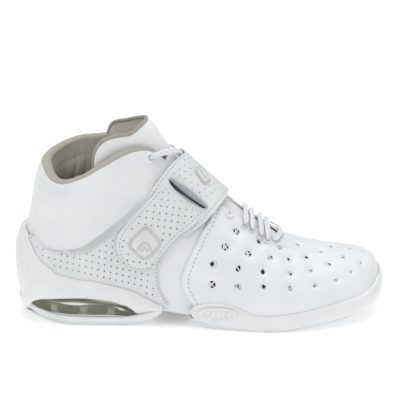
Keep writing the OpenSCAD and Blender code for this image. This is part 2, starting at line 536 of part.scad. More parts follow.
// Tongue
function tongue_out(v) = -mix(0.6, 13, smooth(abs(v) / 0.38));
TONGUE_IN = 1.6 + tongue_foam_t;
function tongue_ribs() =
    let (low = both_sides(TONGUE_LOW), top = both_sides(TONGUE_TOP))
    [for (i = [0:len(low) - 1]) rib(low[i], top[i])];
module tongue_layer(from, to)
    sheet(tongue_ribs(), 18, 5, function(t, v) tongue_out(v) - from,
          function(t, v) tongue_out(v) - to);
module tongue_lower() color("gainsboro") placed()
    sheet([rib([6.0, -0.22], [12.2, -0.3]), rib([5.6, 0], [12.2, 0]), rib([6.0, 0.22], [12.2, 0.3])],
          8, 12, -6.6, -2.4);
module tongue_shell() color("white") placed() tongue_layer(1.2, 0);
module tongue_foam() color("khaki") placed() tongue_layer(TONGUE_IN, 1.6);
module tongue_lining() color("darkgray") placed() tongue_layer(TONGUE_IN + 1.2, TONGUE_IN + 0.4);
module tongue_binding() color("gray") placed() {
    middle = (TONGUE_IN + 1.2) / 2;
    rim = both_sides(concat([[14.7, -0.562], [15.5, -0.562], [16.3, -0.562]],
        [for (i = [1:5]) [TONGUE_TOP[i][0] + 0.22, TONGUE_TOP[i][1]]]));
    ribbon([for (p = rim) [p[0], p[1], tongue_out(p[1]) - middle]], 40, middle + 0.5, 1.1);
}

// Band and strap
module strip(back, front, n, m, from, to)
    sheet([edge(back), edge(front)], n, m, from, to);
BAND_STEP = [for (i = [0:10]) i < 3 ? BAND_LOW_IN : BAND_IN];
module instep_band() color("white") placed() resize([0, 0, 0]) difference() {
    strip(both_sides(BAND_BACK), both_sides(BAND_FRONT), 6, 26, BAND_STEP,
          [for (d = BAND_STEP) d + strap_t]);
    ribbon([for (p = SLOT) [p[0], p[1], BAND_IN]], 6, 5, SLOT_HALF);
}
module slot_bar() color("lightslategray") placed()
    ribbon([for (p = SLOT) [p[0], p[1] + 0.028, BAND_IN + strap_t + 1.8]], 8, 1.5, 1.9, 10);
module strap_root() color("white") placed()
    strip(ROOT_BACK, ROOT_FRONT, 6, 20, STRAP_ROOT_IN, STRAP_ROOT_IN + strap_t);
module strap_tip() color("white") placed()
    strip(TIP_BACK, TIP_FRONT, 7, 16, STRAP_IN, STRAP_OUT);
module hook_patch() color("silver") placed()
    strip(PATCH_BACK, PATCH_FRONT, 5, 4, HOOK_PATCH[0], HOOK_PATCH[1]);
module loop_patch() color("silver") placed()
    strip(PATCH_BACK, PATCH_FRONT, 5, 4, LOOP_PATCH[0], LOOP_PATCH[1]);
module strap_badge() color("lightgray") placed()
    plate(10.56, -0.51, badge_w, badge_w, 45, STRAP_OUT + 0.2, STRAP_OUT + 1, 1);
module band_emblem() color("lightgray") placed()
    plate(9.75, -0.1, 15, 9, -42, BAND_IN + strap_t + 0.2, BAND_IN + strap_t + 1.4, 0.3, 6);

// Lacing
module eyelets() color("white") placed()
    for (e = EYELETS, side = [-1, 1])
        on_last(e[0], side * e[1], e[2]) difference() {
            cylinder(d = e[3], h = e[4]);
            translate([0, 0, -1]) cylinder(d = 3, h = 4);
        }
module lace() color("white") placed() {
    for (row = LACE_ROWS)
        ribbon([for (v = [-LACE_V, -0.1, 0, 0.1, LACE_V])
                [row[0], v, row[1] - (row[2] < 1 ? 0 : 10 * (LACE_V - abs(v)))]],
               8, row[2], lace_w / 2, 6);
    for (side = [1, -1])
        ribbon([for (p = TOP_LACE) [p[0], side * p[1], p[2]]], 8, 1, lace_w / 2, 6);
}
module lace_loop() color("white") placed()
    ribbon([[6.5, -0.15, 3.7], [6.35, -0.12, 3.8], [6.17, 0, 3.8], [6.35, 0.12, 3.8], [6.5, 0.15, 3.7]],
           12, 0.8, 2);

outsole_heel();
outsole_forefoot();
heel_tray();
air_unit();
air_columns();
heel_foam();
heel_carrier();
shank_plate();
forefoot_midsole();
forefoot_rand();
sole_badge();
strobel_board();
sockliner();
quarter_lateral();
quarter_medial();
heel_counter();
heel_lining();
collar_foam();
collar_lining();
collar_rim();
side_panel_lateral();
side_panel_medial();
toe_puff();
vamp_bootie();
forefoot_cage();
tongue_lower();
tongue_shell();
tongue_foam();
tongue_lining();
tongue_binding();
strap_root();
instep_band();
slot_bar();
band_emblem();
strap_tip();
hook_patch();
loop_patch();
strap_badge();
eyelets();
lace();
lace_loop();
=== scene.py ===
"""Visual model of the basketball high top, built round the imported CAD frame.

The shell pieces lie on the same reference surface as the CAD, the last: u runs along its cuts
from the toe over the foot to the heel and up the ankle, and v from the top line (0) down each
side (lateral minus, medial plus) to the line underneath (1). Lengths are millimetres of the
design until place() turns them into the frame's metres.
"""
import math

import bpy
import numpy as np
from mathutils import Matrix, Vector
from mathutils.geometry import delaunay_2d_cdt


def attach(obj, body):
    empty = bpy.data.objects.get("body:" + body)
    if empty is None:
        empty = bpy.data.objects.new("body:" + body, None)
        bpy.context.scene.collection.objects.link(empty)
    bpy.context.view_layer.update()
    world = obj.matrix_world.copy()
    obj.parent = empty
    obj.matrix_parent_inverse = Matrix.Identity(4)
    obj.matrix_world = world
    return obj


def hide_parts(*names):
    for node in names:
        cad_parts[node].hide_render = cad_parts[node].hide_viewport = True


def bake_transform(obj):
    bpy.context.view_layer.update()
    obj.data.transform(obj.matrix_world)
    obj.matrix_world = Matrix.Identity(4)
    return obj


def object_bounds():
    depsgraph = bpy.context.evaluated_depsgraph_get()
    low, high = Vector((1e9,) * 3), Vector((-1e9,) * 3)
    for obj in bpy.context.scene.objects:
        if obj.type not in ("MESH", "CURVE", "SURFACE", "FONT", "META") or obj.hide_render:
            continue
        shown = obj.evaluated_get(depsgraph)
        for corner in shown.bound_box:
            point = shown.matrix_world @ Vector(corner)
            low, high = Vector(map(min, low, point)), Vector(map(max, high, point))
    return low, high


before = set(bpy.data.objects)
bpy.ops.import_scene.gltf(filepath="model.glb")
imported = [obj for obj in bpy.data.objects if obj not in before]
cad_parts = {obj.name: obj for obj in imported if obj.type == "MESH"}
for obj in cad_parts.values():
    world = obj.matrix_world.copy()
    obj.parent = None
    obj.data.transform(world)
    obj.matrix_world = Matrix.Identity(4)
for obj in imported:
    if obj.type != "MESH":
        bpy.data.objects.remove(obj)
CAD_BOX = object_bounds()

# The design's own length and the point that the CAD puts at the frame's origin
DESIGN_LENGTH = 306.8
CENTRE = np.array([153.45, -0.73, 0.0])
MM = (CAD_BOX[1].x - CAD_BOX[0].x) / DESIGN_LENGTH


def place(points):
    return (np.asarray(points, float) - CENTRE) * MM


# ---------------------------------------------------------------------------
# The last
# ---------------------------------------------------------------------------
# lower x z, upper x z, middle y, lateral and medial half widths, height of the widest point,
# angle at which the lower edge closes, roundness below
SECTIONS = np.array([
    [299.5, 39, 299, 41, 6, 2, 2, 0.50, 180, 2.0],
    [301, 28, 294, 45, 6, 15, 14, 0.45, 180, 2.2],
    [299.5, 18, 288, 47, 6, 25, 23, 0.40, 179, 2.4],
    [292.5, 11.5, 279, 49, 5, 35, 32, 0.36, 178, 2.6],
    [275, 7, 263, 51, 4, 44, 40, 0.33, 110, 2.6],
    [250, 3.5, 244, 54, 3, 50, 46, 0.31, 98, 2.2],
    [222, 2.5, 222, 62, 1, 52, 48, 0.29, 97, 2.0],
    [194, 3, 201, 76, 0, 50, 45, 0.27, 97, 2.0],
    [164, 4, 181, 92, 0, 45, 40, 0.27, 97, 2.0],
    [130, 7, 163, 108, 0, 40, 36, 0.28, 97, 2.0],
    [90, 7, 148, 122, 0, 38, 36, 0.28, 99, 2.0],
    [48, 5, 136, 134, 0, 37, 36, 0.30, 104, 2.4],
    [11, 8, 128, 143, 0, 36, 35, 0.33, 178, 3.0],
    [8, 24, 122, 151, 0, 35, 34, 0.35, 180, 3.0],
    [7, 45, 118, 158, 0, 35, 34, 0.37, 180, 2.6],
    [9.5, 72, 114, 164, 0, 35, 34, 0.39, 180, 2.3],
    [15, 100, 110, 170, 0, 35, 34, 0.42, 180, 2.2],
    [22, 126, 105, 178, 0, 34, 34, 0.44, 180, 2.1],
    [26, 140, 100, 186, 0, 34, 34, 0.45, 180, 2.0],
])
WALL = 0.65


def mix(a, b, t):
    return a + (b - a) * t


def smooth(t):
    t = np.clip(t, 0, 1)
    return t * t * (3 - 2 * t)


def bell(x, width):
    return np.exp(-(x / width) ** 2)


def unit(vectors):
    return vectors / np.linalg.norm(vectors, axis=-1, keepdims=True)


def heading(path):
    """Unit direction of a path at each of its points."""
    return unit(np.gradient(path, axis=0))


def catmull(a, b, c, d, t):
    return 0.5 * (2 * b + (c - a) * t + (2 * a - 5 * b + 4 * c - d) * t * t
                  + (3 * b - 3 * c + d - a) * t ** 3)


def spline(table, x):
    """Catmull-Rom value of a table of numbers or rows at x, which counts rows from 0."""
    table = np.asarray(table, float)
    x = np.asarray(x, float)
    i = np.clip(np.floor(x).astype(int), 0, len(table) - 2)
    ends = np.concatenate([[2 * table[0] - table[1]], table, [2 * table[-1] - table[-2]]])
    t = (x - i).reshape(x.shape + (1,) * (table.ndim - 1))
    return catmull(*(ends[i + k] for k in range(4)), t)


def spline_rows(rows, x):
    """The same for one table per row: rows is (N, k, 2) and x is (N,)."""
    i = np.clip(np.floor(x).astype(int), 0, rows.shape[1] - 2)
    ends = np.concatenate([2 * rows[:, :1] - rows[:, 1:2], rows,
                           2 * rows[:, -1:] - rows[:, -2:-1]], axis=1)
    pick = np.arange(len(rows))
    return catmull(*(ends[pick, i + k] for k in range(4)), (x - i)[:, None])


def edge_normal(u, k, side):
    a = spline(SECTIONS, np.maximum(u - 0.05, 0))
    b = spline(SECTIONS, np.minimum(u + 0.05, len(SECTIONS) - 1))
    d = unit(b[..., k:k + 2] - a[..., k:k + 2])
    return side * np.stack([-d[..., 1], d[..., 0]], -1)


def folded(v):
    """v past the line underneath, counted again from the top on the other side."""
    return np.where(v < -1, v + 2, np.where(v > 1, v - 2, v))


def last(u, v, depth=0.0):
    """Point of the last in the design's millimetres, depth outwards."""
    u, v, depth = np.broadcast_arrays(*(np.asarray(x, float) for x in (u, v, depth)))
    s = spline(SECTIONS, u)
    closing = np.cos(np.radians(np.minimum(s[..., 8], 180)))
    w = folded(v)
    a = np.abs(w)
    low = s[..., 0:2] - (depth * closing)[..., None] * edge_normal(u, 0, 1)
    high = s[..., 2:4] + depth[..., None] * edge_normal(u, 2, -1)
    q = np.sin(np.pi / 2 * np.clip((a - WALL) / (1 - WALL), 0, 1))
    rise = np.sin(np.pi / 2 * np.clip(a / WALL, 0, 1))
    fall = np.cos(np.pi / 2 * np.clip(a / WALL, 0, 1))
    m = s[..., 7]
    h = np.where(a <= WALL, m + (1 - m) * fall, m * (1 - q))
    under = np.maximum(0, 1 - np.abs(closing * q) ** s[..., 9]) ** (1 / s[..., 9])
    g = np.where(a <= WALL, rise, under)
    p = high + (low - high) * (1 - h)[..., None]
    half = np.where(w < 0, s[..., 5], s[..., 6]) + depth
    return np.stack([p[..., 0], s[..., 4] + np.sign(w) * half * g, p[..., 1]], -1)


def outward(u, v, depth=0.0):
    return unit(np.cross(last(u, np.add(v, 0.005), depth) - last(u, np.add(v, -0.005), depth),
                         last(np.add(u, 0.05), v, depth) - last(np.add(u, -0.05), v, depth)))


def v_at(u, z):
    s = spline(SECTIONS, u)
    m, h = s[..., 7], np.clip((z - s[..., 1]) / (s[..., 3] - s[..., 1]), 0, 1)
    over = WALL * np.degrees(np.arccos(np.clip((h - m) / (1 - m), -1, 1))) / 90
    under = WALL + (1 - WALL) * np.degrees(np.arcsin(np.clip(1 - h / m, -1, 1))) / 90
    return np.where(h >= m, over, under)


def foot(u, z):
    return [u, -float(v_at(u, z))]


def beside(u, v, x, y):
    """u and v of the point x forwards and y upwards of another along the last."""
    n = outward(u, v)
    ahead = unit(np.array([1.0, 0, 0]) - n[0] * n)
    up = np.cross(n, ahead)
    if up[2] < 0:
        up = -up
    x, y = np.asarray(x, float), np.asarray(y, float)
    w = x[..., None] * ahead + y[..., None] * up
    pu = (last(u + 0.05, v) - last(u - 0.05, v)) / 0.1
    pv = (last(u, v + 0.01) - last(u, v - 0.01)) / 0.02
    step = np.linalg.solve([[pu @ pu, pu @ pv], [pu @ pv, pv @ pv]],
                           np.stack([w @ pu, w @ pv]).reshape(2, -1))
    return u + step[0].reshape(x.shape), v + step[1].reshape(x.shape)


# ---------------------------------------------------------------------------
# Ribs, as in the CAD
# ---------------------------------------------------------------------------
def rib(*points):
    return [c for p in points for c in p]


def straight(a, b):
    a, b = np.asarray(a, float), np.asarray(b, float)
    return rib(a, mix(a, b, 1 / 3), mix(a, b, 2 / 3), b)


def both_sides(points):
    return [list(p) for p in points] + [[p[0], -p[1]] for p in points[-2::-1]]


def medial(ribs):
    return [[c if k % 2 == 0 else -c for k, c in enumerate(r)] for r in ribs]


def around(ribs):
    far = [[c if k % 2 == 0 else -2 - c for k, c in enumerate(r)] for r in ribs[-2::-1]]
    return ribs + far


def on_ribs(ribs, s, t):
    """u and v at share s of the ribs and share t along each."""
    ribs = np.asarray(ribs, float)
    s, t = np.ravel(s), np.ravel(t)
    rows = spline(ribs, s * (len(ribs) - 1)).reshape(len(s), -1, 2)
    uv = spline_rows(rows, t * (rows.shape[1] - 1))
    return uv[:, 0], uv[:, 1]


# ---------------------------------------------------------------------------
# Meshes
# ---------------------------------------------------------------------------
SHARP = math.radians(50)


def make(name, points, faces, material, body="shoe", slot=None, replaces=(), uv=None,
         extra=(), indices=None, sharp=SHARP):
    """A piece from points in the design's millimetres, riding on a body."""
    mesh = bpy.data.meshes.new(name)
    mesh.from_pydata(place(points).tolist(), [], [list(map(int, f)) for f in faces])
    for m in (material, *extra):
        mesh.materials.append(m)
    if indices is not None:
        mesh.polygons.foreach_set("material_index", np.asarray(indices, np.int32))
    if uv is not None:
        layer = mesh.uv_layers.new(name="mm")
        loops = np.zeros(len(mesh.loops), np.int32)
        mesh.loops.foreach_get("vertex_index", loops)
        layer.data.foreach_set("uv", np.asarray(uv, np.float32)[loops].ravel())
    mesh.validate()
    mesh.update()
    mesh.shade_smooth()
    mesh.set_sharp_from_angle(angle=sharp)
    piece = bpy.data.objects.new(name, mesh)
    bpy.context.collection.objects.link(piece)
    if replaces:
        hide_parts(*replaces)
    if body:
        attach(piece, body)
    return piece


def lines(length, cell, marks):
    """Positions from 0 to length: marks in from both ends, and even steps between them."""
    marks = [m for m in marks if m < length * 0.45]
    inner = marks[-1]
    steps = max(1, round((length - 2 * inner) / cell))
    middle = np.linspace(inner, length - inner, steps + 1)
    return np.array(marks[:-1] + list(middle) + [length - m for m in marks[-2::-1]])


def rounded_edge(distance, radius):
    """How far the surface falls at a distance from a rounded edge."""
    k = 1 - np.clip(distance / radius, 0, 1)
    return radius * (1 - np.sqrt(np.maximum(0, 1 - k * k)))


def value(f, *where):
    return f(*where) if callable(f) else f


def grid_faces(nx, ny):
    return [(i * ny + j, (i + 1) * ny + j, (i + 1) * ny + j + 1, i * ny + j + 1)
            for i in range(nx - 1) for j in range(ny - 1)]


def grid_rim(nx, ny):
    """The points round a grid's rim, in order."""
    return ([i * ny for i in range(nx)] + [(nx - 1) * ny + j for j in range(1, ny)]
            + [i * ny + ny - 1 for i in range(nx - 2, -1, -1)] + list(range(ny - 2, 0, -1)))


def pairs(loop):
    return list(zip(loop, loop[1:] + loop[:1]))


def tube_faces(start, n, k):
    """Faces of a closed tube of n rings of k points, with its ends filled."""
    faces = []
    for i in range(n - 1):
        for j in range(k):
            a, b = start + i * k + j, start + i * k + (j + 1) % k
            faces.append((a, b, b + k, a + k))
    head = tuple(start + j for j in range(k))
    return faces + [head[::-1], tuple(j + (n - 1) * k for j in head)]


class Patch:
    """A stretch of the last laid out on ribs, with its size in millimetres."""

    def __init__(self, ribs, depth=0.0):
        self.ribs = ribs
        self.depth = depth
        k = np.linspace(0, 1, 41)
        s, t = np.meshgrid(k, k, indexing="ij")
        p = self.at(s.ravel(), t.ravel(), depth).reshape(41, 41, 3)
        self.wide = float(np.linalg.norm(np.diff(p, axis=0), axis=2).sum(0).mean())
        self.high = float(np.linalg.norm(np.diff(p, axis=1), axis=2).sum(1).mean())

    def uv(self, s, t):
        return on_ribs(self.ribs, s, t)

    def at(self, s, t, depth):
        u, v = self.uv(s, t)
        return last(u, v, depth)

    def find(self, u, v):
        """s and t of points given as u and v."""
        k = np.linspace(0, 1, 121)
        s, t = (x.ravel() for x in np.meshgrid(k, k, indexing="ij"))
        gu, gv = self.uv(s, t)
        found = []
        for pu, pv in zip(np.ravel(u), np.ravel(v)):
            i = np.argmin(((gu - pu) * 20) ** 2 + ((gv - pv) * 95) ** 2)
            q = np.array([s[i], t[i]])
            for _ in range(4):
                a, b = (float(x[0]) for x in self.uv(q[:1], q[1:]))
                su, sv = (float(x[0]) for x in self.uv(q[:1] + 1e-3, q[1:]))
                tu, tv = (float(x[0]) for x in self.uv(q[:1], q[1:] + 1e-3))
                jac = np.array([[su - a, tu - a], [sv - b, tv - b]]) / 1e-3
                q = q + np.clip(np.linalg.lstsq(jac, [pu - a, pv - b], rcond=None)[0], -0.05, 0.05)
            found.append(q)
        return np.array(found)

    def metric(self, s, t):
        """How the s, t plane, in millimetres, is stretched on the surface round a point."""
        e = 1e-3
        s, t = np.array([s, s + e, s]), np.array([t, t, t + e])
        p = self.at(s, t, self.depth)
        js, jt = (p[1] - p[0]) / (e * self.wide), (p[2] - p[0]) / (e * self.high)
        return np.array([[js @ js, js @ jt], [js @ jt, jt @ jt]])

    def flat(self, s, t):
        return np.stack([np.asarray(s, float) * self.wide, np.asarray(t, float) * self.high], -1)


class Hole:
    """A round blind hole at s, t, closed by a floor; a dimple may lie round it."""

    def __init__(self, patch, s, t, radius, turns=8, dimple=0.0, reach=0.0):
        self.centre, self.radius, self.turns = patch.flat(s, t), radius, turns
        self.dimple, self.reach = dimple, reach
        self.metric = patch.metric(s, t)
        power, axes = np.linalg.eigh(self.metric)
        self.spread = axes @ np.diag(power ** -0.5) @ axes.T
        self.spot = patch.at(np.array([s]), np.array([t]), patch.depth)[0]

    def ring(self, radius):
        angle = (np.arange(self.turns) + 0.5) * 2 * np.pi / self.turns
        return self.centre + radius * np.stack([np.cos(angle), np.sin(angle)], 1) @ self.spread

    def gap(self, flat):
        off = flat - self.centre
        return np.sqrt(np.einsum("ij,jk,ik->i", off, self.metric, off)) - self.radius


def pierced(flat, rim, holes, cut):
    """Triangles over the flat points, with the loops of round holes and of a convex cut."""
    keep = np.ones(len(flat), bool)
    loops, rings = [], []
    for h in holes:
        steps = [0.2, 0.45, 0.75, 1.05] if h.dimple else [0.5 * h.radius / 0.6]
        keep &= h.gap(flat) > (h.reach * 1.2 if h.dimple else h.radius * 0.9)
        loops.append(h.ring(h.radius))
        scale = h.reach if h.dimple else 1.0
        rings += [h.ring(h.radius + k * scale) for k in steps]
    if cut is not None:
        middle = cut.mean(0)
        loops.append(cut)
        for k in (0.7, 1.6):
            rings.append(cut + unit(cut - middle) * k)
        far = np.linalg.norm(flat[:, None, :] - cut[None, :, :], axis=2).min(1)
        keep &= far > 2.2
        inside = np.ones(len(flat), bool)
        turned = np.roll(cut, -1, axis=0) - cut
        area = np.sum(cut[:, 0] * np.roll(cut[:, 1], -1) - np.roll(cut[:, 0], -1) * cut[:, 1])
        for p, d in zip(cut, turned):
            inside &= (d[0] * (flat[:, 1] - p[1]) - d[1] * (flat[:, 0] - p[0])) * area > 0
        keep &= ~inside
    keep[rim] = True
    number = np.cumsum(keep) - 1
    points = [flat[keep]]
    edges = [(number[a], number[b]) for a, b in pairs(rim)]
    total = int(keep.sum())
    spans = []
    for loop in loops:
        n = len(loop)
        spans.append(range(total, total + n))
        edges += [(total + k, total + (k + 1) % n) for k in range(n)]
        points.append(loop)
        total += n
    points = np.concatenate(points + rings)
    made = delaunay_2d_cdt([Vector(p) for p in points], [(int(a), int(b)) for a, b in edges],
                           [], 0, 1e-6)
    out = np.array([list(p) for p in made[0]])
    turned = {}
    for k, sources in enumerate(made[3]):
        for source in sources:
            turned[source] = k
    rim = [turned[number[k]] for k in rim]
    loops = [[turned[k] for k in span] for span in spans]
    owner = np.full(len(out), -1)
    for k, loop in enumerate(loops):
        owner[loop] = k
    faces, plugs = [], []
    for f in made[2]:
        own = owner[list(f)]
        held = own[0] if own[0] >= 0 and (own == own[0]).all() else -1
        (faces if held < 0 else plugs).append((tuple(f), held))
    return out, rim, loops, [f for f, _ in faces], plugs


def sheet(name, patch, inner, outer, material, *, cell=3.0, edge_round=0.6, seam=None,
          holes=(), cut=None, relief=None, hole_floor=None, lining=None, capped=False, soft_edge=None,
          **kind):
    """A thick piece of material on a patch, with rounded edges, holes and a seam's groove."""
    half = np.array([0.5])
    thick = float(np.mean(value(outer, half, half) - value(inner, half, half)))
    radius = min(edge_round, thick * 0.5)
    marks = [0, radius * 0.12, radius * 0.45, radius]
    if soft_edge:
        marks += [soft_edge * 0.4, soft_edge]
    if seam:
        marks += [seam - 0.9, seam, seam + 0.9]
    marks = sorted(marks)
    xs, ys = lines(patch.wide, cell, marks), lines(patch.high, cell, marks)
    nx, ny = len(xs), len(ys)
    gx, gy = np.meshgrid(xs, ys, indexing="ij")
    flat = np.stack([gx.ravel(), gy.ravel()], 1)
    rim, faces = grid_rim(nx, ny), grid_faces(nx, ny)
    loops, plugs = [], []
    if holes or cut is not None:
        flat, rim, loops, faces, plugs = pierced(flat, rim, holes, cut)
    s, t = flat[:, 0] / patch.wide, flat[:, 1] / patch.high
    u, v = patch.uv(s, t)
    near = np.minimum(np.minimum(flat[:, 0], patch.wide - flat[:, 0]), patch.high - flat[:, 1])
    if not capped:
        near = np.minimum(near, flat[:, 1])
    if cut is not None:
        near = np.minimum(near, np.linalg.norm(flat[:, None, :] - cut[None], axis=2).min(1))
    fall = rounded_edge(near, radius)
    shift = np.zeros(len(flat))
    if seam:
        shift = shift - 0.3 * bell(near - seam, 0.7)
    if relief:
        shift = shift + relief(s, t, u, v)
    if soft_edge:
        shift = shift - 0.5 * (1 - smooth(near / soft_edge))
    for h in holes:
        if h.dimple:
            shift = shift - h.dimple * (1 - smooth(h.gap(flat) / h.reach))
    top_depth = value(outer, s, t) - fall + shift
    low_depth = value(inner, s, t) + fall + np.minimum(shift, 0) * 0.5
    low_depth = np.minimum(low_depth, top_depth - 0.05)
    count = len(flat)
    points = [last(u, v, top_depth), last(u, v, low_depth)]
    k = faces[len(faces) // 2]
    a, b, c = points[0][k[0]], points[0][k[1]], points[0][k[2]]
    up = np.dot(np.cross(b - a, c - a), outward(u[k[0]], v[k[0]])) > 0
    turn = (lambda f: tuple(f)) if up else (lambda f: tuple(f)[::-1])
    done = [turn(f) for f in faces] + [turn([count + q for q in f[::-1]]) for f in faces]
    marked = [0] * len(faces) + [1 if lining else 0] * len(faces)

    def turning(loop):
        return sum(flat[p][0] * flat[q][1] - flat[q][0] * flat[p][1] for p, q in pairs(loop))

    clockwise = turning(rim) < 0
    area = np.cross(flat[k[1]] - flat[k[0]], flat[k[2]] - flat[k[0]])
    same = (area > 0) != clockwise
    skip = set()
    if capped:
        skip = set(range(nx - 1))
        row = rim[:nx]
        lid = row[::-1] if same else row
        done += [turn(lid), turn([count + q for q in lid[::-1]])]
        p, q = row[-1], row[0]
        side = [q, p, count + p, count + q]
        done.append(turn(side if same else side[::-1]))
        marked += [0, 0, 0]
    for n, (p, q) in enumerate(pairs(rim)):
        if n not in skip:
            side = [p, count + p, count + q, q]
            done.append(turn(side if same else side[::-1]))
            marked.append(0)
    total = 2 * count
    for n, loop in enumerate(loops):
        with_face = (turning(loop) > 0) == (area > 0)
        low = [count + p for p in loop]
        # each hole is closed by a floor face in the second material: near-black painted shade for the
        # pinholes, the net for the vents
        if n < len(holes):
            low = [total + i for i in range(len(loop))]
            total += len(loop)
            depth = np.minimum(low_depth[loop] + 0.35, top_depth[loop] - 0.2)
            points.append(last(u[loop], v[loop], depth))
            done.append(turn(low if with_face else low[::-1]))
            marked.append(1 if hole_floor else 0)
        for (p, q), (a, b) in zip(pairs(loop), pairs(low)):
            side = [q, b, a, p]
            done.append(turn(side if with_face else side[::-1]))
            marked.append(0)
    for f, n in plugs:
        if n < len(holes):
            done.append(turn([count + q for q in f[::-1]]))
            marked.append(0)
    uv = np.concatenate([flat, flat] + [flat[loop] for loop in loops[:len(holes)]])
    under = hole_floor or lining
    return make(name, np.concatenate(points), done, material, uv=uv, indices=marked,
                extra=[under] if under else [], **kind)


def strip_loft(name, rings, material, **kind):
    """A closed tube through rings of points, with its ends filled."""
    rings = np.asarray(rings, float)
    n, k = rings.shape[:2]
    middle = rings.mean(1)
    first = rings[0] - middle[0]
    facing = np.dot(np.cross(first[0], first[1]), middle[1] - middle[0]) > 0
    faces = [f if facing else f[::-1] for f in tube_faces(0, n, k)]
    along = np.concatenate([[0], np.cumsum(np.linalg.norm(np.diff(middle, axis=0), axis=1))])
    girth = np.linalg.norm(np.diff(np.vstack([rings[n // 2], rings[n // 2][:1]]), axis=0), axis=1)
    round_it = np.concatenate([[0], np.cumsum(girth)])[:k]
    uv = np.stack(np.meshgrid(along, round_it, indexing="ij"), -1).reshape(-1, 2)
    return make(name, rings.reshape(-1, 3), faces, material, uv=uv, **kind)


def sweep(path, across, a, b, sides=12, power=1.0):
    """Rings round a path: half width a lies along across and b beside it."""
    path, across = np.asarray(path, float), np.asarray(across, float)
    way = heading(path)
    p = unit(across - np.sum(across * way, 1, keepdims=True) * way)
    q = np.cross(way, p)
    angle = np.arange(sides) * 2 * np.pi / sides
    ca, sa = np.cos(angle), np.sin(angle)
    ca, sa = np.sign(ca) * np.abs(ca) ** power, np.sign(sa) * np.abs(sa) ** power
    a = np.broadcast_to(np.asarray(a, float), len(path))[:, None, None]
    b = np.broadcast_to(np.asarray(b, float), len(path))[:, None, None]
    return path[:, None] + a * ca[None, :, None] * p[:, None] + b * sa[None, :, None] * q[:, None]


def resample(path, step):
    """The path at even steps of about a step's length."""
    path = np.asarray(path, float)
    run = np.concatenate([[0], np.cumsum(np.linalg.norm(np.diff(path, axis=0), axis=1))])
    n = max(2, int(round(run[-1] / step)))
    at = np.linspace(0, run[-1], n + 1)
    return np.stack([np.interp(at, run, path[:, k]) for k in range(path.shape[1])], 1)


def on_route(points, n):
    """u, v and depth along a smooth route through points."""
    return spline(np.asarray(points, float), np.linspace(0, len(points) - 1, n + 1))


# ---------------------------------------------------------------------------
# Materials
# ---------------------------------------------------------------------------
class Nodes:
    """A material's node tree, with short ways to add and join nodes."""

    def __init__(self, name, roughness, **inputs):
        self.material = bpy.data.materials.new(name)
        self.material.use_nodes = True
        self.tree = self.material.node_tree
        self.shader = self.tree.nodes["Principled BSDF"]
        self.set(self.shader, Roughness=roughness, **inputs)
        self.coords = self.tree.nodes.new("ShaderNodeTexCoord")
        self.height = None

    def set(self, node, **inputs):
        for key, v in inputs.items():
            node.inputs[key.replace("_", " ")].default_value = v

    def join(self, a, b):
        self.tree.links.new(a, b)

    def add(self, kind, **inputs):
        node = self.tree.nodes.new("ShaderNode" + kind)
        self.set(node, **inputs)
        return node

    def noise(self, size, detail=2.0, uv=False):
        """Noise whose features are about size metres, or millimetres on the sheet with uv."""
        node = self.add("TexNoise", Scale=1 / size, Detail=detail)
        self.join(self.coords.outputs["UV" if uv else "Object"], node.inputs["Vector"])
        return node.outputs["Fac"]

    def cells(self, size):
        """Grain of cells about size metres across."""
        node = self.add("TexVoronoi", Scale=1 / size)
        node.feature = "DISTANCE_TO_EDGE"
        self.join(self.coords.outputs["Object"], node.inputs["Vector"])
        return node.outputs["Distance"]

    def bands(self, pitch, axis="X", distortion=0.0, turn=0.0):
        """Bands across the sheet, a pitch in millimetres apart."""
        source = self.coords.outputs["UV"]
        if turn:
            spin = self.add("Mapping")
            spin.inputs["Rotation"].default_value = (0, 0, turn)
            self.join(source, spin.inputs["Vector"])
            source = spin.outputs["Vector"]
        node = self.add("TexWave", Scale=math.pi / 10 / pitch, Distortion=distortion,
                        Detail=1.0, Detail_Scale=2.0)
        node.bands_direction = axis
        self.join(source, node.inputs["Vector"])
        return node.outputs["Fac"]

    def math(self, operation, a, b):
        node = self.add("Math")
        node.operation = operation
        for socket, v in zip(node.inputs, (a, b)):
            if isinstance(v, (int, float)):
                socket.default_value = v
            else:
                self.join(v, socket)
        return node.outputs[0]

    def ramp(self, source, low, high, start=0.0, end=1.0):
        node = self.add("ValToRGB")
        stops = node.color_ramp.elements
        stops[0].position, stops[1].position = start, end
        stops[0].color, stops[1].color = (*low, 1), (*high, 1)
        self.join(source, node.inputs["Fac"])
        return node.outputs["Color"]

    def colour(self, source, low, high, start=0.35, end=0.65):
        self.join(self.ramp(source, low, high, start, end), self.shader.inputs["Base Color"])

    def rough(self, source, low, high):
        node = self.add("MapRange", From_Min=0.3, From_Max=0.7, To_Min=low, To_Max=high)
        self.join(source, node.inputs["Value"])
        self.join(node.outputs["Result"], self.shader.inputs["Roughness"])

    def bump(self, source, depth, strength=1.0):
        """Relief from source, depth in millimetres; each call adds to the last."""
        node = self.add("Bump", Strength=strength, Distance=depth / 1000)
        self.join(source, node.inputs["Height"])
        if self.height:
            self.join(self.height, node.inputs["Normal"])
        self.height = node.outputs["Normal"]
        self.join(self.height, self.shader.inputs["Normal"])


def leather(name, low, high, grain=0.0011, roughness=(0.38, 0.52)):
    m = Nodes(name, 0.45)
    m.colour(m.noise(0.03, 3), low, high, 0.3, 0.7)
    m.rough(m.noise(0.004, 2), *roughness)
    m.bump(m.cells(grain), 0.05, 0.5)
    m.bump(m.noise(0.0004, 2), 0.03, 0.6)
    m.bump(m.noise(0.012, 2), 0.25, 0.5)
    return m.material


def moulded(name, low, high, roughness=(0.3, 0.4), speckle=0.0006, depth=0.02, **inputs):
    m = Nodes(name, roughness[0], **inputs)
    m.colour(m.noise(0.02, 3), low, high, 0.3, 0.7)
    m.rough(m.noise(0.006, 3), *roughness)
    m.bump(m.noise(speckle, 2), depth, 0.6)
    return m.material


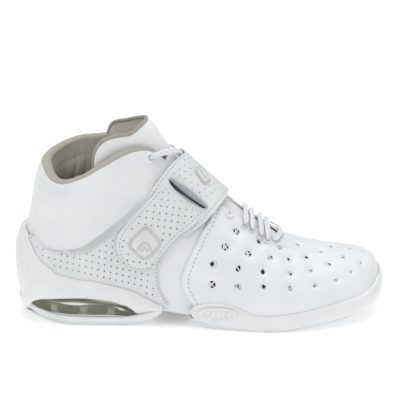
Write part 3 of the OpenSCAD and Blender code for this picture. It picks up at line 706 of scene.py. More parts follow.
def ribbed_fabric(name, low, high, pitch=1.0):
    """Lining cloth: fine ribs across the sheet with a looser weave between them; the colour is darker in
    the ribs' grooves, painted shade as well as their bump.
    """
    m = Nodes(name, 0.85, Sheen_Weight=0.35, Sheen_Roughness=0.5)
    ribs = m.bands(pitch, "X", 0.6)
    threads = m.bands(pitch * 0.55, "Y", 1.2)
    both = m.math("ADD", m.math("MULTIPLY", ribs, 0.65), m.math("MULTIPLY", threads, 0.2))
    both = m.math("ADD", both, m.math("MULTIPLY", m.noise(2.5, 3, uv=True), 0.3))
    # painted shade: the ribs' grooves are coloured darker besides their bump; the weave and the noise add
    # the cloth's own tone
    m.colour(both, low, high, 0.15, 0.95)
    m.bump(ribs, 0.28, 0.8)
    m.bump(threads, 0.08, 0.7)
    return m.material


def net(name):
    """Open mesh: white threads crossing over a black ground, which is painted shade for the dark seen
    through the open weave.
    """
    m = Nodes(name, 0.7)
    threads = m.math("MAXIMUM", m.bands(2.6, "X", 1.0, 0.5), m.bands(2.6, "Y", 1.0, 0.5))
    threads = m.math("MAXIMUM", threads, m.bands(3.4, "X", 0.6, 1.2))
    # painted shade: the black between the threads
    m.colour(threads, (0.008, 0.008, 0.01), (0.72, 0.74, 0.78), 0.80, 0.92)
    m.bump(threads, 0.3, 0.8)
    return m.material


def webbing(name, low, high, pitch=0.8):
    """Flat woven lace or tape."""
    m = Nodes(name, 0.75, Sheen_Weight=0.2, Sheen_Roughness=0.5)
    weave = m.math("MULTIPLY", m.bands(pitch, "X", 0.3, 0.6), m.bands(pitch, "X", 0.3, -0.6))
    m.colour(m.math("ADD", weave, m.math("MULTIPLY", m.noise(0.01, 2), 0.4)), low, high, 0.1, 0.9)
    m.bump(weave, 0.18, 0.7)
    return m.material


def film(name, tint, alpha):
    """Clear glossy film of the air unit."""
    m = Nodes(name, 0.12, Alpha=alpha, Coat_Weight=0.6, Coat_Roughness=0.08)
    low = tuple(c * 0.8 for c in tint)
    m.colour(m.noise(0.02, 2), low, tint, 0.35, 0.65)
    m.bump(m.noise(0.006, 1), 0.12, 0.5)
    return m.material


WHITE = (0.80, 0.82, 0.83)
PALE = (0.74, 0.76, 0.775)
M = {
    "leather": leather("leather_white", PALE, WHITE),
    "cage": leather("cage_white", (0.755, 0.78, 0.795), (0.80, 0.825, 0.84), 0.0009, (0.34, 0.46)),
    "panel": leather("panel_white", (0.675, 0.70, 0.71), (0.73, 0.75, 0.76), 0.0009, (0.4, 0.52)),
    "tongue": leather("tongue_white", (0.77, 0.785, 0.785), (0.83, 0.84, 0.84), 0.0013, (0.42, 0.55)),
    "shell": moulded("shell_white", (0.75, 0.765, 0.775), (0.80, 0.81, 0.82), (0.34, 0.46), 0.0009, 0.03),
    "rubber": moulded("rubber_white", (0.70, 0.715, 0.73), (0.76, 0.775, 0.785), (0.42, 0.55)),
    "foam": moulded("foam_white", (0.74, 0.745, 0.74), (0.80, 0.80, 0.79), (0.6, 0.75), 0.0012, 0.06),
    "shank": moulded("shank_dark", (0.02, 0.02, 0.022), (0.05, 0.05, 0.055), (0.3, 0.45)),
    "badge": moulded("badge_grey", (0.50, 0.52, 0.50), (0.57, 0.59, 0.57), (0.35, 0.5), 0.0008, 0.03),
    "badge_field": moulded("badge_field", (0.66, 0.68, 0.67), (0.72, 0.74, 0.73), (0.2, 0.3), 0.001, 0.02,
                           Coat_Weight=0.5),
    "board": moulded("board_grey", (0.32, 0.32, 0.31), (0.42, 0.42, 0.40), (0.85, 0.95), 0.0006, 0.2),
    "tan": moulded("counter_tan", (0.45, 0.38, 0.26), (0.55, 0.47, 0.34), (0.6, 0.7), 0.0008, 0.05),
    "bar": moulded("bar_bluegrey", (0.27, 0.31, 0.33), (0.36, 0.40, 0.42), (0.22, 0.32), 0.0008, 0.03),
    # painted shade: near-black floors of the pinholes and the sheet under the slot stand in for the shade
    # in those hollows
    "dark": moulded("pinhole_and_slot_painted_shade", (0.05, 0.05, 0.055), (0.12, 0.12, 0.13), (0.8, 0.9), 0.0005, 0.1),
    "hook": webbing("hook_white", (0.60, 0.61, 0.62), (0.72, 0.73, 0.74), 1.2),
    "loop": webbing("loop_white", (0.62, 0.62, 0.62), (0.72, 0.72, 0.72), 0.9),
    # lining and rim are lit and shaded copies of one cloth: the lining is the lighter copy, painted light
    # for the collar's shaded inside wall, and the rim the darker copy, painted shade on the lit roll
    "lining": ribbed_fabric("lining_grey", (0.42, 0.40, 0.36), (0.76, 0.725, 0.655), 1.35),
    "liner": ribbed_fabric("liner_grey", (0.36, 0.35, 0.33), (0.52, 0.50, 0.47), 1.6),
    "rim": ribbed_fabric("lining_grey_roll_painted_shade", (0.29, 0.275, 0.245), (0.56, 0.53, 0.475), 1.35),
    "binding": ribbed_fabric("binding_grey", (0.27, 0.255, 0.225), (0.50, 0.475, 0.43), 1.1),
    "net": net("mesh_grey"),
    "lace": webbing("lace_white", (0.74, 0.76, 0.79), (0.86, 0.87, 0.89)),
    "thread": webbing("thread_white", (0.36, 0.37, 0.38), (0.52, 0.53, 0.54), 0.5),
    "eyelet": moulded("eyelet_white", (0.76, 0.775, 0.785), (0.81, 0.82, 0.83), (0.35, 0.45)),
    "film": film("air_film", (0.36, 0.36, 0.27), 0.42),
    # pale gloss of the welded bead, also used for the painted highlight strip over the film
    "bead": moulded("air_bead_and_painted_highlight", (0.72, 0.73, 0.68), (0.80, 0.81, 0.76), (0.1, 0.16), 0.002, 0.02),
    # painted shade for the air unit's dim inside
    "shade_wall": moulded("air_painted_shade_wall", (0.15, 0.15, 0.12), (0.23, 0.23, 0.185), (0.35, 0.45), 0.002, 0.05),
    "core": moulded("air_core", (0.62, 0.64, 0.58), (0.70, 0.72, 0.66), (0.25, 0.35), 0.002, 0.05),
}


# ---------------------------------------------------------------------------
# Outlines on the last, as in the CAD
# ---------------------------------------------------------------------------
COLLAR = [
    [12.8, -0.171], [13.9, -0.245], [14.8, -0.345], [15.3, -0.47], [15.6, -0.6], [16.0, -0.715],
    [16.6, -0.83], [17.1, -0.92], [17.3, -1], [17.25, -1.08], [17.1, -1.17], [16.8, -1.285],
    [16.35, -1.4], [15.8, -1.53], [15.0, -1.655], [14.0, -1.755], [12.9, -1.829],
]
CAGE_REAR = [
    [8.52, -0.785], [8.64, -0.76], [8.77, -0.727], [8.94, -0.679], [9.1, -0.623], [9.11, -0.572],
    [9.09, -0.515], [9.03, -0.454], [8.95, -0.378], [8.85, -0.314], [8.8, -0.25], [8.78, -0.2],
    [8.66, -0.155], [7.8, -0.14], [7.2, -0.13], [6.7, -0.115], [6.35, -0.08], [6.15, -0.04],
    [6.1, 0],
]
BOOTIE_REAR = [
    [8.05, -0.785], [8.05, -0.66], [8.05, -0.53], [8.05, -0.4], [8.05, -0.28], [8.05, -0.16],
    [7.5, -0.145], [6.8, -0.13], [6.3, -0.08], [6.0, 0],
]
VENTS = [
    [8.25, -0.6], [7.5, -0.565], [6.7, -0.52], [5.8, -0.485], [4.95, -0.45], [4.1, -0.42],
    [3.3, -0.36], [2.4, -0.28], [8.35, -0.5], [7.55, -0.465], [6.75, -0.42], [5.8, -0.365],
    [5.05, -0.32], [4.25, -0.25], [3.5, -0.17], [8.1, -0.385], [7.3, -0.35], [6.5, -0.3],
    [5.8, -0.25], [5.15, -0.19], [4.5, -0.1], [7.8, -0.255], [6.95, -0.225], [6.15, -0.17],
    [5.45, -0.06],
]
MIDDLE_VENTS = [[1.7, 0], [3.0, 0], [4.0, 0]]
BAND_BACK = [[11.15, -0.39], [11.4, -0.335], [11.48, -0.28], [11.4, -0.2], [11.15, -0.1], [10.9, 0]]
BAND_FRONT = [[9.45, -0.435], [9.18, -0.38], [8.97, -0.32], [8.7, -0.21], [8.5, -0.1], [8.42, 0]]
ROOT_BACK = [
    [11.1, 0.66], [11.25, 0.55], [11.3, 0.42], [11.2, 0.3], [11.0, 0.15], [10.75, 0],
    [10.85, -0.12], [10.92, -0.19],
]
ROOT_FRONT = [
    [9.85, 0.66], [9.72, 0.55], [9.5, 0.42], [9.2, 0.3], [8.9, 0.15], [8.75, 0], [8.9, -0.12],
    [9.02, -0.195],
]
TIP_BACK = [
    [10.95, -0.285], [11.25, -0.315], [11.3, -0.35], [11.39, -0.39], [11.5, -0.45],
    [11.52, -0.5], [11.32, -0.54], [10.98, -0.575], [10.6, -0.597], [10.3, -0.603],
]
TIP_FRONT = [
    [9.12, -0.3], [9.2, -0.32], [9.28, -0.345], [9.42, -0.39], [9.62, -0.43], [9.76, -0.47],
    [9.86, -0.505], [9.93, -0.545], [9.93, -0.577], [10.08, -0.598],
]
PATCH_BACK = [[11.3, -0.46], [11.35, -0.49], [11.1, -0.525], [10.85, -0.548]]
PATCH_FRONT = [[9.95, -0.46], [9.95, -0.49], [10.0, -0.525], [10.2, -0.55]]
SLOT = [[11.05, -0.251], [10.0, -0.263], [9.16, -0.273]]
TONGUE_TOP = [
    [16.0, -0.556], [16.6, -0.548], [16.8, -0.49], [16.66, -0.405], [16.23, -0.298],
    [15.68, -0.21], [15.58, -0.1], [15.6, 0], [15.72, 0.08], [16.0, 0.16], [16.3, 0.24],
    [16.62, 0.31], [16.72, 0.37], [16.5, 0.42], [15.9, 0.44],
]
TONGUE_LOW = [
    [14.6, -0.54], [14.3, -0.5], [14.0, -0.45], [13.6, -0.38], [12.9, -0.3], [12.2, -0.2],
    [11.9, -0.1], [11.8, 0], [11.9, 0.08], [12.2, 0.16], [12.6, 0.24], [13.1, 0.31],
    [13.6, 0.37], [14.0, 0.42], [14.4, 0.44],
]
LACE_V = 0.19

# Depths of the layers, outwards from the last
LEATHER = (-1.6, 0.0)
CAGE = (0.6, 2.2)
ROOT = (2.6, 4.4)
BAND = (4.9, 6.7)
BAND_LOW = 2.6
STRAP = (5.2, 7.0)
SHELL_IN = 2.7
STRAP_T = 1.8


def toe_ribs(points, u_toe):
    return [rib([u_toe, p[1]], p) for p in both_sides(points)]


def quarter_ribs(top):
    return [
        rib(foot(8.2, 8.6), [8.2, -0.14]), rib(foot(8.9, 10.2), [9.2, -0.14]),
        rib(foot(9.5, 14.4), [10.4, -0.14]), rib(foot(10.1, 22.4), [11.6, -0.145]),
        rib(foot(10.7, 25.4), top[0]), rib(foot(11.2, 26.4), top[1]),
        rib(foot(11.6, 26.4), top[2]), rib(foot(12.0, 26.4), top[3]),
        rib(foot(12.35, 26.4), top[4]), rib(foot(12.7, 26.4), top[5]),
        rib(foot(12.95, 26.4), top[6]), rib(foot(13.07, 26.4), top[7]), rib([13.13, -1], top[8]),
    ]


LATERAL_TOP = COLLAR[:9]
MEDIAL_TOP = [[p[0], -2 - p[1]] for p in COLLAR[:7:-1]]
PANEL_RIBS = [
    straight([14.6, -0.93], [14.84, -0.902]), straight([14.6, -0.9], [14.77, -0.855]),
    straight([14.0, -0.86], [14.2, -0.789]), straight([13.2, -0.82], [13.5, -0.724]),
    straight([12.4, -0.79], [12.75, -0.66]), straight([11.8, -0.77], [12.15, -0.609]),
    straight([11.3, -0.77], [11.82, -0.57]), straight([10.9, -0.78], [11.62, -0.51]),
    straight([10.5, -0.8], [11.42, -0.436]), straight([10.1, -0.82], [11.25, -0.37]),
    straight([9.7, -0.83], [11.1, -0.34]),
    rib([9.35, -0.82], [9.85, -0.66], [10.2, -0.54], [10.6, -0.33]),
    rib([9.15, -0.81], [9.6, -0.665], [9.8, -0.55], [9.4, -0.41]),
]


# ---------------------------------------------------------------------------
# Stitching
# ---------------------------------------------------------------------------
def stitches(name, rows, body="shoe", long=1.9, gap=1.4, radius=0.27):
    """Rows of stitches, each row a list of points and the surface's normals there."""
    turns = 6
    # place along the stitch, thickness and height, as shares
    steps = ((-1, 0.35, -0.9), (-0.75, 0.9, -0.2), (0, 1, 0), (0.75, 0.9, -0.2), (1, 0.35, -0.9))
    points, faces = [], []
    for path, normal in rows:
        both = resample(np.hstack([path, normal]), long + gap)
        for a, b in zip(both[:-1], both[1:]):
            middle, n = (a[:3] + b[:3]) / 2, (a[3:] + b[3:]) / 2
            n = unit(n)
            way = (b[:3] - a[:3]) / max(np.linalg.norm(b[:3] - a[:3]), 1e-9)
            beside_way = np.cross(way, n)
            faces += tube_faces(len(points), len(steps), turns)
            for at, size, sink in steps:
                for k in range(turns):
                    w = 2 * math.pi * k / turns
                    points.append(middle + way * at * long / 2 + n * (sink * radius)
                                  + size * radius * (math.cos(w) * beside_way * 1.15
                                                     + math.sin(w) * n))
    return make(name, points, faces, M["thread"], body)


def along(patch, s, t, depth):
    """A row for stitches() along shares s and t of a patch, at a depth."""
    s, t = np.broadcast_arrays(np.asarray(s, float), np.asarray(t, float))
    u, v = patch.uv(s, t)
    depth = value(depth, s, t)
    return last(u, v, depth), outward(u, v, depth)


def both_edges(patch, inset, run, depth):
    """Rows for stitches() inset from a patch's two long edges."""
    return [along(patch, inset / patch.wide, run, depth),
            along(patch, 1 - inset / patch.wide, run, depth)]


def lattice(patch, start, a, b, count, radius, margin, avoid=(), above=None):
    """Pinholes on a lattice seen in the side view, kept a margin inside the patch.

    The lattice steps by a and b from start, in x and z. None lies near a point to avoid, or
    where the line above hides it.
    """
    holes = []
    spots = [(start[0] + i * a[0] + j * b[0], start[1] + i * a[1] + j * b[1])
             for i in range(-count, count + 1) for j in range(-count, count + 1)]
    k = np.linspace(0, 1, 61)
    s, t = (x.ravel() for x in np.meshgrid(k, k, indexing="ij"))
    p = patch.at(s, t, patch.depth)
    for x, z in spots:
        gap = (p[:, 0] - x) ** 2 + (p[:, 2] - z) ** 2
        i = np.argmin(gap)
        if gap[i] > 4:
            continue
        q = np.array([s[i], t[i]])
        for _ in range(5):
            here = patch.at(q[:1], q[1:], patch.depth)[0]
            ds = (patch.at(q[:1] + 1e-3, q[1:], patch.depth)[0] - here) / 1e-3
            dt = (patch.at(q[:1], q[1:] + 1e-3, patch.depth)[0] - here) / 1e-3
            jac = np.array([[ds[0], dt[0]], [ds[2], dt[2]]])
            q = q + np.linalg.lstsq(jac, [x - here[0], z - here[2]], rcond=0.05)[0]
        low, side, far, top = margin
        flat = patch.flat(*q)
        if not (side < flat[0] < patch.wide - far and low < flat[1] < patch.high - top):
            continue
        if any(np.linalg.norm(patch.at(q[:1], q[1:], patch.depth)[0] - c) < r for c, r in avoid):
            continue
        u, v = (float(c[0]) for c in patch.uv(q[:1], q[1:]))
        if above and abs(v) > np.interp(u, [p[0] for p in above], [-p[1] for p in above]) - 0.016:
            continue
        holes.append(Hole(patch, q[0], q[1], radius))
    return holes


# ---------------------------------------------------------------------------
# Upper
# ---------------------------------------------------------------------------
def quarters():
    for name, ribs in (("quarter_lateral", quarter_ribs(LATERAL_TOP)),
                       ("quarter_medial", medial(quarter_ribs(MEDIAL_TOP)))):
        patch = Patch(ribs)

        def soft(s, t, u, v):
            # padding under the collar edge, and the creases where the ankle flexes
            padded = 1.6 * smooth((s - 0.3) / 0.15) * bell(t - 0.86, 0.14)
            crease = -0.9 * bell(t - 0.62 - 0.25 * (s - 0.33), 0.022) * bell(s - 0.33, 0.08)
            second = -0.7 * bell(t - 0.74 + 0.2 * (s - 0.35), 0.02) * bell(s - 0.37, 0.07)
            swell = 0.6 * bell(t - 0.68, 0.05) * bell(s - 0.36, 0.1)
            return padded + crease + second + swell + 0.15 * np.sin(9 * s + 5 * t) * (np.abs(v) < 0.6)

        sheet(name + "_leather", patch, *LEATHER, M["leather"], cell=2.5, soft_edge=3.0,
              relief=soft, slot="leather_white", replaces=[name])


def bootie():
    patch = Patch(toe_ribs(BOOTIE_REAR, 0.3))
    sheet("bootie_mesh", patch, -1.6, -0.5, M["net"], cell=3.5, capped=True,
          slot="mesh_grey", replaces=["vamp_bootie"])


def cage():
    patch = Patch(toe_ribs(CAGE_REAR, 0.0), 2.2)
    spots = [(u, side * v) for u, v in VENTS for side in (1, -1)] + [tuple(p) for p in MIDDLE_VENTS]
    where = patch.find([p[0] for p in spots], [p[1] for p in spots])
    size = [1.2 + 1.9 * (max(min(u, 8.3) - 2, 0) / 6.3) ** 1.6 for u, v in spots]
    holes = [Hole(patch, s, t, k, 14, 0.5 + 0.4 * k, 1.2 + 1.7 * k) for k, (s, t) in zip(size, where)]
    sheet("forefoot_cage_leather", patch, *CAGE, M["cage"], cell=2.6, seam=3.0, holes=holes,
          hole_floor=M["net"], capped=True, edge_round=0.8, slot="cage_white", replaces=["forefoot_cage"])
    rear = 1 - 3.0 / patch.high
    s = np.linspace(0.03, 0.36, 90)
    rows = [along(patch, s, rear, CAGE[1] - 0.2), along(patch, 1 - s, rear, CAGE[1] - 0.2)]
    stitches("cage_stitches", rows, long=2.2, gap=1.5, radius=0.3)


def side_panels():
    for name, ribs in (("side_panel_lateral", PANEL_RIBS),
                       ("side_panel_medial", medial(PANEL_RIBS))):
        patch = Patch(ribs, CAGE[1])
        holes = lattice(patch, (60.0, 51.0), (5.05, -1.18), (-0.5, -5.4), 16, 0.68,
                        (2.2, 3.0, 5.5, 2.4), above=CARRIER_TOP)
        sheet(name + "_leather", patch, *CAGE, M["panel"], cell=3.0, holes=holes,
              hole_floor=M["dark"], slot="panel_white", replaces=[name])
        t = np.linspace(0.04, 0.96, 60)
        near = 1 - 2.2 / patch.wide
        rows = [along(patch, near, t, CAGE[1])]
        s = np.linspace(0.3, 0.97, 90)
        rows.append(along(patch, s, 1 - 1.8 / patch.high, CAGE[1]))
        stitches(name + "_stitches", rows, long=2.0, gap=1.4, radius=0.28)


def linings():
    counter = around([
        rib(foot(10.6, 30), [12.4, -0.5]), rib(foot(11.6, 30), [13.4, -0.66]),
        rib(foot(12.3, 30), [14.1, -0.78]), rib(foot(12.9, 30), [14.6, -0.9]),
        rib([13.3, -1], [14.8, -1]),
    ])
    sheet("heel_lining_cloth", Patch(counter), -5.0, -4.2, M["lining"], cell=4,
          slot="lining_grey", replaces=["heel_lining"])


def pad_depth(v):
    """Depth of the collar's padding, as in the CAD: thin at the throat, full at the ankle."""
    a = np.abs(folded(v))
    return mix(3.0, 8.6, smooth((a - 0.2) / 0.3)), smooth((a - 0.17) / 0.25)


CLOTH_FRAMES = 20


def swell(piece, held, pressure, cap):
    """Cloth under pressure: the piece fills out from its held points, by at most cap metres."""
    mesh = piece.data
    before = np.zeros(len(mesh.vertices) * 3)
    mesh.vertices.foreach_get("co", before)
    group = piece.vertex_groups.new(name="held")
    group.add([int(k) for k in held], 1.0, "REPLACE")
    cloth = piece.modifiers.new("Cloth", "CLOTH")
    cloth.settings.vertex_group_mass = "held"
    cloth.settings.use_pressure = True
    cloth.settings.uniform_pressure_force = pressure
    cloth.settings.effector_weights.gravity = 0
    cloth.settings.quality = 6
    cloth.settings.tension_stiffness = 12
    cloth.settings.compression_stiffness = 12
    cloth.settings.shear_stiffness = 6
    cloth.settings.bending_stiffness = 0.6
    cloth.collision_settings.use_collision = False
    scene = bpy.context.scene
    for frame_number in range(1, CLOTH_FRAMES + 1):
        scene.frame_set(frame_number)
    moved = piece.evaluated_get(bpy.context.evaluated_depsgraph_get()).to_mesh()
    after = np.zeros(len(before))
    moved.vertices.foreach_get("co", after)
    step = (after - before).reshape(-1, 3)
    far = np.linalg.norm(step, axis=1, keepdims=True)
    step *= np.minimum(1, cap / np.maximum(far, 1e-9))
    piece.modifiers.remove(cloth)
    piece.vertex_groups.remove(group)
    scene.frame_set(1)
    mesh.vertices.foreach_set("co", before + step.ravel())
    mesh.update()


# Points of each of the collar's rings over the roll, and down its inside
ROLL, INSIDE = 13, 7


def collar():
    """The padded collar: a roll over the edge that runs on down inside the ankle."""
    n = 150
    edge_uv = spline(COLLAR, np.linspace(0, len(COLLAR) - 1, n + 1))
    u, v = edge_uv[:, 0], edge_uv[:, 1]
    pad, firm = pad_depth(v)
    at = last(u, v, -pad / 2)
    out = outward(u, v, -pad / 2)
    up = np.cross(out, heading(at))
    up *= np.sign(up[:, 2:3]) / np.linalg.norm(up, axis=1, keepdims=True)
    fall = mix(0.25, 2.6, firm)
    full = smooth((np.abs(folded(v)) - 0.5) / 0.2)
    rings = []
    angle = np.linspace(0, np.pi, ROLL)
    steps = np.array([0.07, 0.16, 0.28, 0.42, 0.58, 0.76, 1.0])
    for k in range(n + 1):
        # over the edge: half an oval from the leather to the inside of the roll
        top = [at[k] + out[k] * (pad[k] / 2 * math.cos(w)) * 0.98
               + up[k] * (0.2 + mix(2.4, 3.6, firm[k]) * math.sin(w) ** 0.8) for w in angle]
        # down the inside and back up behind it
        inner = -pad[k] - (firm[k] + 4.5 * full[k]) * np.sin(np.pi * np.minimum(1, steps * 1.5))
        down = last(u[k] - fall[k] * steps, np.full(INSIDE, v[k]), inner)
        back = last(u[k] - fall[k] * steps[::-1], np.full(INSIDE, v[k]),
                    np.minimum(inner[::-1] + mix(0.6, 5.5, firm[k] * (1 - steps[::-1])), -2.0))
        rings.append(np.concatenate([top, down, back]))
    piece = strip_loft("collar_padding", rings, M["lining"], slot="lining_grey",
                       replaces=["collar_rim", "collar_lining", "collar_foam"])
    ring_size = len(rings[0])
    held = [k * ring_size + j for k in range(n + 1) for j in range(ring_size)
            if j == 0 or j >= ROLL + INSIDE - 1 or k < 3 or k > n - 3]
    swell(piece, held, 3.0, 0.0014)
    creases(piece, n + 1, ring_size)
    # the roll takes the darker copy of the lining cloth and the inside the lighter one: painted shade on
    # the lit roll, painted light on the shaded inside
    piece.data.materials.append(M["rim"])
    for face in piece.data.polygons[:n * ring_size]:
        face.material_index = int(face.index % ring_size <= ROLL)


def creases(piece, count, size):
    """Upright creases in the lining where the collar bends."""
    mesh = piece.data
    co = np.zeros(len(mesh.vertices) * 3)
    normal = np.zeros(len(mesh.vertices) * 3)
    mesh.vertices.foreach_get("co", co)
    mesh.vertices.foreach_get("normal", normal)
    co, normal = co.reshape(count, size, 3), normal.reshape(count, size, 3)
    s = np.linspace(0, 1, count)[:, None]
    j = np.arange(size)[None, :]
    inside = smooth((j - ROLL) / 3) * smooth((ROLL + INSIDE + 1 - j) / 3)
    depth = np.zeros((count, size))
    for middle, lean, deep in ((0.60, 0.004, 1.2), (0.645, 0.006, 1.5), (0.69, 0.008, 1.7),
                               (0.735, 0.008, 1.4), (0.30, -0.004, 1.0), (0.36, -0.005, 1.1),
                               (0.425, -0.004, 0.9), (0.54, 0.002, 0.8), (0.48, 0, 0.7)):
        depth += deep * bell(s - middle - lean * (j - 15) / 5, 0.0085)
    co -= normal * (depth * inside * MM)[..., None]
    mesh.vertices.foreach_set("co", co.ravel())
    mesh.update()


def tongue_out(v):
    return -mix(0.6, 13.0, smooth(np.abs(v) / 0.38))


def tongue():
    patch = Patch([rib(a, b) for a, b in zip(TONGUE_LOW, TONGUE_TOP)], -5.0)

    def share(s, t):
        """0 at the tongue's edges and 1 where the padding is full."""
        near = np.minimum(np.minimum(s, 1 - s) * patch.wide, (1 - t) * patch.high)
        return smooth(near / 9)

    def outer(s, t):
        return tongue_out(patch.uv(s, t)[1]) - 0.8 * (1 - share(s, t))

    def inner(s, t):
        return tongue_out(patch.uv(s, t)[1]) - mix(2.7, 6.8, share(s, t))

    piece = sheet("tongue_padding", patch, inner, outer, M["tongue"], cell=2.6, edge_round=1.0,
                  relief=lambda s, t, u, v: 1.1 * share(s, t), lining=M["lining"], body="tongue",
                  slot="tongue_white", replaces=["tongue_shell", "tongue_foam", "tongue_lining"])
    rim = [[14.7, -0.542], [15.4, -0.552]] + TONGUE_TOP + [[15.2, 0.443], [14.6, 0.442]]
    route = on_route(rim, 480)
    depth = tongue_out(route[:, 1]) - 1.75
    path, across = last(route[:, 0], route[:, 1], depth), outward(route[:, 0], route[:, 1], depth)
    wave = np.arange(481) * 2 * np.pi / 6
    rings = sweep(path, across, 1.5 + 0.1 * np.cos(wave), 1.5 + 0.3 * np.sin(wave), 14, 0.8)
    strip_loft("tongue_binding_tape", rings, M["binding"], body="tongue", slot="binding_grey",
               replaces=["tongue_binding"])
    lower = [rib([6.0, -0.22], [11.6, -0.3]), rib([5.6, 0], [11.6, 0]), rib([6.0, 0.22], [11.6, 0.3])]
    piece = sheet("tongue_lower_padding", Patch(lower), -6.6, -0.6, M["tongue"], cell=3,
                  edge_round=1.8, soft_edge=5, slot="tongue_white", replaces=["tongue_lower"])


# ---------------------------------------------------------------------------
# Band, strap and lacing
# ---------------------------------------------------------------------------
# Middles of the plates: u, v
BADGE, EMBLEM, SOLE_BADGE = (10.56, -0.51), (9.75, -0.1), (7.94, -0.785)


def band_depth(s, t):
    """The band lies low at its lateral end, and steps up over the strap before the slot."""
    low = [BAND_LOW if k < 2 else BAND[0] for k in range(11)]
    return spline(np.array(low, float), np.clip(t, 0, 1) * 10)


def band():
    patch = Patch([rib(*both_sides(BAND_BACK)), rib(*both_sides(BAND_FRONT))], BAND[1])
    route = on_route([[u, v - 0.004] for u, v in SLOT], 14)
    where = patch.find(route[:, 0], route[:, 1])
    flat = patch.flat(where[:, 0], where[:, 1])
    way = heading(flat)
    beside_way = np.stack([-way[:, 1], way[:, 0]], 1)
    share = np.linspace(0, 1, len(flat))
    half = 3.0 * np.sin(np.pi * share)[:, None] ** 0.6
    cut = np.concatenate([flat + beside_way * half, (flat - beside_way * half)[-2:0:-1]])
    avoid = [(last(*EMBLEM, BAND[1]), 9.5)]
    avoid += [(last(u, v, BAND[1]), 5.0) for u, v in on_route(SLOT, 8)]
    holes = []
    for i in range(-12, 13):
        for j in range(-12, 13):
            x, y = patch.wide / 2 + i * 5.3 + j * 1.2, patch.high * 0.5 + j * 5.0 + i * 1.0
            s, t = x / patch.wide, y / patch.high
            if not (5.5 < x < patch.wide - 5.5 and 6 < y < patch.high - 4):
                continue
            p = patch.at(np.array([s]), np.array([t]), BAND[1])[0]
            if all(np.linalg.norm(p - c) > r for c, r in avoid):
                holes.append(Hole(patch, s, t, 0.6))
    sheet("instep_band_leather", patch, band_depth, lambda s, t: band_depth(s, t) + STRAP_T,
          M["panel"], cell=2.6, seam=2.6, holes=holes, cut=cut, hole_floor=M["dark"],
          slot="panel_white", replaces=["instep_band"])
    run = np.linspace(0.06, 0.94, 120)
    skin = band_depth(run, run) + STRAP_T - 0.2
    stitches("band_stitches", both_edges(patch, 2.6, run, skin))
    route = on_route([[u, v + 0.001, BAND[1] + 0.7] for u, v in SLOT], 48)
    path = last(*route.T)
    across = outward(*route.T)
    k = np.sin(np.linspace(0.12, np.pi - 0.12, 49)) ** 0.35
    strip_loft("slot_roll", sweep(path, across, 3.9 * k, 1.6 * k, 16), M["bar"],
               slot="bar_bluegrey", replaces=["slot_bar"])
    # painted shade: a near-black sheet under the slot stands in for the shadow beneath the roll and the
    # band
    back = [[u, v + 0.04] for u, v in SLOT]
    low = [[u, v - 0.022] for u, v in SLOT]
    sheet("slot_painted_shade_sheet", Patch([rib(*back), rib(*low)], 4.7), 4.5, 4.8, M["dark"], cell=3,
          edge_round=0.1)


def plate(name, u, v, w, h, turn, low, high, rim_width, rise, material, body, slot, replaces,
          field=None, cells=26, corner=0.45):
    """Rounded plate that follows the last, with a raised rim round a field of its own finish."""
    k = np.linspace(-1, 1, cells + 1)
    a, b = np.meshgrid(k, k, indexing="ij")
    out = np.maximum(np.abs(a), np.abs(b))
    # rounded corners: every square ring is drawn in to a ring with arcs at its corners
    angle = np.arctan2(np.abs(b), np.abs(a))
    way = np.stack([np.cos(angle), np.sin(angle)], -1)
    middle = way.sum(-1) * (1 - corner)
    arc = middle + np.sqrt(np.maximum(0, middle ** 2 - 2 * (1 - corner) ** 2 + corner ** 2))
    side = 1 / way.max(-1)
    inward = np.where(way.min(-1) * side > 1 - corner, arc / side, 1.0)
    px, py = a * inward * w / 2, b * inward * h / 2
    cos, sin = math.cos(math.radians(turn)), math.sin(math.radians(turn))
    pu, pv = beside(u, v, px * cos - py * sin, px * sin + py * cos)
    near = (1 - out) * min(w, h) / 2
    top = high + rise * smooth((rim_width - near) / (rim_width * 0.45)) - rounded_edge(near, 0.5)
    n = cells + 1
    points = np.concatenate([last(pu, pv, top).reshape(-1, 3), last(pu, pv, low).reshape(-1, 3)])
    quads, indices = [], []
    centre = last(pu, pv, top)
    flip = np.dot(np.cross(centre[1, 0] - centre[0, 0], centre[0, 1] - centre[0, 0]),
                  outward(u, v)) < 0
    for q in grid_faces(n, n):
        quads += [q, tuple(n * n + p for p in q[::-1])]
        indices += [int(bool(field) and near.ravel()[list(q)].min() > rim_width * 0.8), 0]
    for p, q in pairs(grid_rim(n, n)):
        quads.append((p, n * n + p, n * n + q, q))
        indices.append(0)
    if flip:
        quads = [q[::-1] for q in quads]
    return make(name, points, quads, material, body, slot, replaces, indices=indices,
                extra=[field] if field else [])


def strokes(name, u, v, turn, depth, routes, half, material, body, slot):
    """Raised strokes on a badge; each line is x and y points round the badge's middle."""
    cos, sin = math.cos(math.radians(turn)), math.sin(math.radians(turn))
    rings = []
    for line in routes:
        xy = on_route(line, 24)
        pu, pv = beside(u, v, xy[:, 0] * cos - xy[:, 1] * sin, xy[:, 0] * sin + xy[:, 1] * cos)
        rings.append(sweep(last(pu, pv, depth), outward(pu, pv, depth), 0.35, half, 10, 0.7))
    points, faces, _ = tubes(rings)
    make(name, points, faces, material, body, slot)


